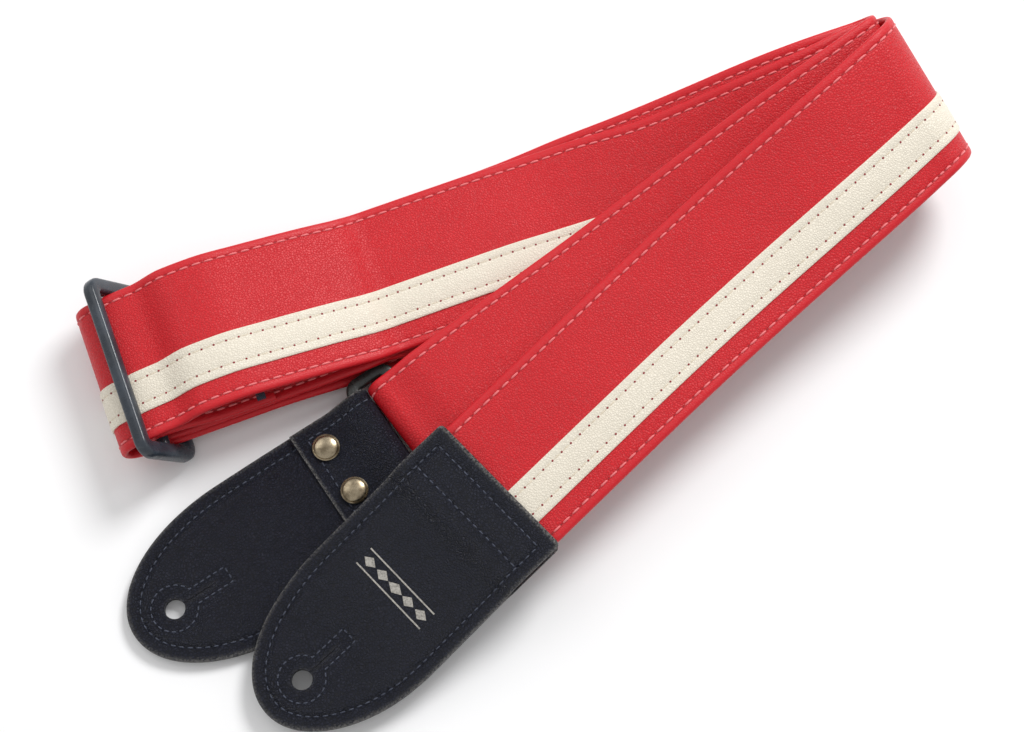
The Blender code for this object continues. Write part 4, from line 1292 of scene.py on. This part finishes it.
def build_strip():
    made = band("rear_loop_leather", strip_path, strip_outline, BLACK, strip_wear)
    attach(made, "rear_tab")
    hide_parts("rear_loop_strip")
    threads = Strands()
    out = LOOP_THICK / 2 - 0.18
    row = TAB_WIDTH / 2 - TAB_ROW
    end = strip_path.length - TAB_ROW
    for side in (-row, row):
        threads.row(lambda d: strip_path.at(d, side, out), TAB_ROW, end, TAB_PITCH, TAB_STITCH, LOOP_THREAD)
    for place in (TAB_ROW, end):
        threads.row(lambda d: strip_path.at(place, d, out), -row, row, TAB_PITCH, TAB_STITCH, LOOP_THREAD)
    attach(threads.make("rear_loop_stitches", BLACK_THREAD, "black_leather"), "rear_tab")


build_strip()


def build_rivet(number, spot):
    """A domed cap with a rolled rim on a straight post."""
    centre = plan_point(REAR_ANGLE, REAR_OFFSET + spot * RIVET_SPACING, RIVET_AT)
    base = strip_level + LOOP_THICK / 2 + GAP
    foot = REAR_MIDDLE - (strip_level - REAR_MIDDLE) - LOOP_THICK / 2 + 0.1
    cap = RIVET_CAP_RADIUS
    crown = base + 0.72
    profile = [(RIVET_POST_RADIUS, foot), (RIVET_POST_RADIUS, base), (cap - 0.35, base - 0.02)]
    profile += [(cap - 0.08, base + 0.12), (cap, base + 0.38), (cap - 0.08, base + 0.66)]
    profile.append((cap - 0.35, base + 0.84))
    for turn in np.linspace(0.0, 0.5, 14)[:-1] * math.pi:
        profile.append(((cap - 0.55) * math.cos(turn), crown + 1.1 * math.sin(turn)))
    count = 48
    points = [centre + UP * foot]
    for radius, height in profile:
        for k in range(count):
            turn = math.tau * k / count
            points.append(centre + np.array([radius * math.cos(turn), radius * math.sin(turn), height]))
    points.append(centre + UP * (crown + 1.1))
    last = len(points) - 1
    end = last - count
    faces = [(0, 1 + (k + 1) % count, 1 + k) for k in range(count)]
    add_walls(faces, 1, count, len(profile))
    faces.extend((last, end + k, end + (k + 1) % count) for k in range(count))
    made = piece(f"rivet_cap_{number}", points, faces, BRASS)
    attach(made, "rear_tab")
    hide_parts(f"rivet_{number}")


for number, spot in enumerate((-1, 0, 1), start=1):
    build_rivet(number, spot)


def squared(value):
    """A cosine or sine pushed outwards, for a softly squared section."""
    return math.copysign(abs(value) ** 0.55, value)


def rounded_frame(outer, inner, corner, inner_corner, thick, axes, rows=20):
    """Points and faces of a rectangular loop whose bars have a softly squared section."""
    origin, x_axis, y_axis, z_axis = axes
    outside = np.array(rounded_rectangle(outer[0], outer[1], corner, 12))
    inside = np.array(rounded_rectangle(inner[0], inner[1], inner_corner, 12))
    points = []
    for k in range(rows):
        turn = math.tau * k / rows
        wide = squared(math.cos(turn))
        tall = squared(math.sin(turn))
        outline = outside * (1 + wide) / 2 + inside * (1 - wide) / 2
        points.extend(origin + x_axis * x + y_axis * y + z_axis * tall * thick / 2 for x, y in outline)
    count = len(outside)
    faces = []
    add_walls(faces, 0, count, rows)
    last = (rows - 1) * count
    faces.extend((last + k, last + (k + 1) % count, (k + 1) % count, k) for k in range(count))
    return points, faces


def tube(points, faces, start, end, radius, sides=20):
    """Add a closed round bar between two points."""
    ahead = (end - start) / np.linalg.norm(end - start)
    side = np.cross(ahead, UP)
    side = side / np.linalg.norm(side)
    other = np.cross(ahead, side)
    add_walls(faces, len(points), sides, 2)
    add_caps(faces, len(points), sides, 2)
    for spot in (start, end):
        for k in range(sides):
            turn = math.tau * k / sides
            points.append(spot + (side * math.cos(turn) + other * math.sin(turn)) * radius)


def build_ring():
    origin = plan_point(REAR_ANGLE, RING_OFFSET, RING_MIDDLE) + UP * RING_HEIGHT
    axes = (origin, across(REAR_ANGLE), along(REAR_ANGLE), UP)
    inner = (RING_LENGTH - 2 * RING_END_BAR, RING_WIDTH - 2 * RING_BAR)
    points, faces = rounded_frame((RING_LENGTH, RING_WIDTH), inner, RING_CORNER, 0.9, RING_THICK, axes)
    made = piece("ring_moulding", points, faces, RING_PLASTIC)
    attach(made, "ring")
    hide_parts("ring")


def build_slider():
    origin = plan_point(LEFT_ANGLE, LEFT_OFFSET + SLIDER_SHIFT, SLIDER_AT) + UP * SLIDER_HEIGHT
    tilt = math.radians(SLIDER_TILT)
    width_axis = -along(LEFT_ANGLE) * math.cos(tilt) + UP * math.sin(tilt)
    length_axis = across(LEFT_ANGLE)
    out_axis = np.cross(length_axis, width_axis)
    outer = (SLIDER_LENGTH, 2 * SLIDER_BAR_SPACING + SLIDER_BAR)
    inner = (SLIDER_LENGTH - 2 * SLIDER_END_BAR, 2 * SLIDER_BAR_SPACING - SLIDER_BAR)
    axes = (origin, length_axis, width_axis, out_axis)
    points, faces = rounded_frame(outer, inner, SLIDER_CORNER, 1.2, SLIDER_THICK, axes)
    reach = inner[0] / 2 + SLIDER_END_BAR / 2
    tube(points, faces, origin - length_axis * reach, origin + length_axis * reach, CENTRE_BAR / 2)
    edge = SLIDER_BAR_SPACING - SLIDER_BAR / 2
    pitch = (inner[0] - 3.0) / TOOTH_COUNT
    for step in range(TOOTH_COUNT):
        start = -inner[0] / 2 + 1.5 + step * pitch
        shape = [(0.0, edge + 0.8), (0.2, edge - TOOTH_DEPTH * 0.8), (0.35, edge - TOOTH_DEPTH)]
        shape += [(0.55, edge - TOOTH_DEPTH), (0.7, edge - TOOTH_DEPTH * 0.8), (0.9, edge + 0.8)]
        add_walls(faces, len(points), len(shape), 2)
        add_caps(faces, len(points), len(shape), 2)
        for level in (-0.95, 0.95):
            for part, place in shape:
                spot = origin + length_axis * (start + pitch * part) + width_axis * place
                points.append(spot + out_axis * level)
    made = piece("slider_moulding", points, faces, SLIDER_PLASTIC)
    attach(made, "slider")
    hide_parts("slider")


build_ring()
build_slider()


# Floor, light and camera


def build_stage():
    mesh = bpy.data.meshes.new("floor")
    reach = 3.0
    corners = [(-reach, -reach, 0.0), (reach, -reach, 0.0), (reach, reach, 0.0), (-reach, reach, 0.0)]
    mesh.from_pydata(corners, [], [(0, 1, 2, 3)])
    mesh.materials.append(pale_floor("pale_floor"))
    linked("floor", mesh)
    world = bpy.data.worlds.new("studio")
    world.use_nodes = True
    background = world.node_tree.nodes["Background"]
    background.inputs["Color"].default_value = (1.0, 1.0, 1.0, 1.0)
    background.inputs["Strength"].default_value = WORLD_LIGHT
    bpy.context.scene.world = world
    for name, place, size, power in LAMPS:
        lamp = bpy.data.lights.new(name, "AREA")
        lamp.shape = "DISK"
        lamp.size = size
        lamp.energy = power
        made = linked(name, lamp)
        made.location = place
        aim = -np.array(place)
        level = math.hypot(aim[0], aim[1])
        made.rotation_euler = (math.atan2(level, -aim[2]), 0.0, math.atan2(aim[1], aim[0]) - math.pi / 2)


def build_camera():
    data = bpy.data.cameras.new("camera")
    data.sensor_width = 36.0
    data.lens = CAMERA_LENS
    data.clip_end = 20.0
    camera = linked("camera", data)
    rise = math.radians(CAMERA_ELEVATION)
    back = np.array([0.0, -math.cos(rise), math.sin(rise)]) * CAMERA_DISTANCE
    camera.location = to_row(CAMERA_TARGET + back)
    camera.rotation_euler = (math.pi / 2 - rise, 0.0, 0.0)
    bpy.context.scene.camera = camera


build_stage()
build_camera()
bpy.context.scene.view_settings.view_transform = "Standard"
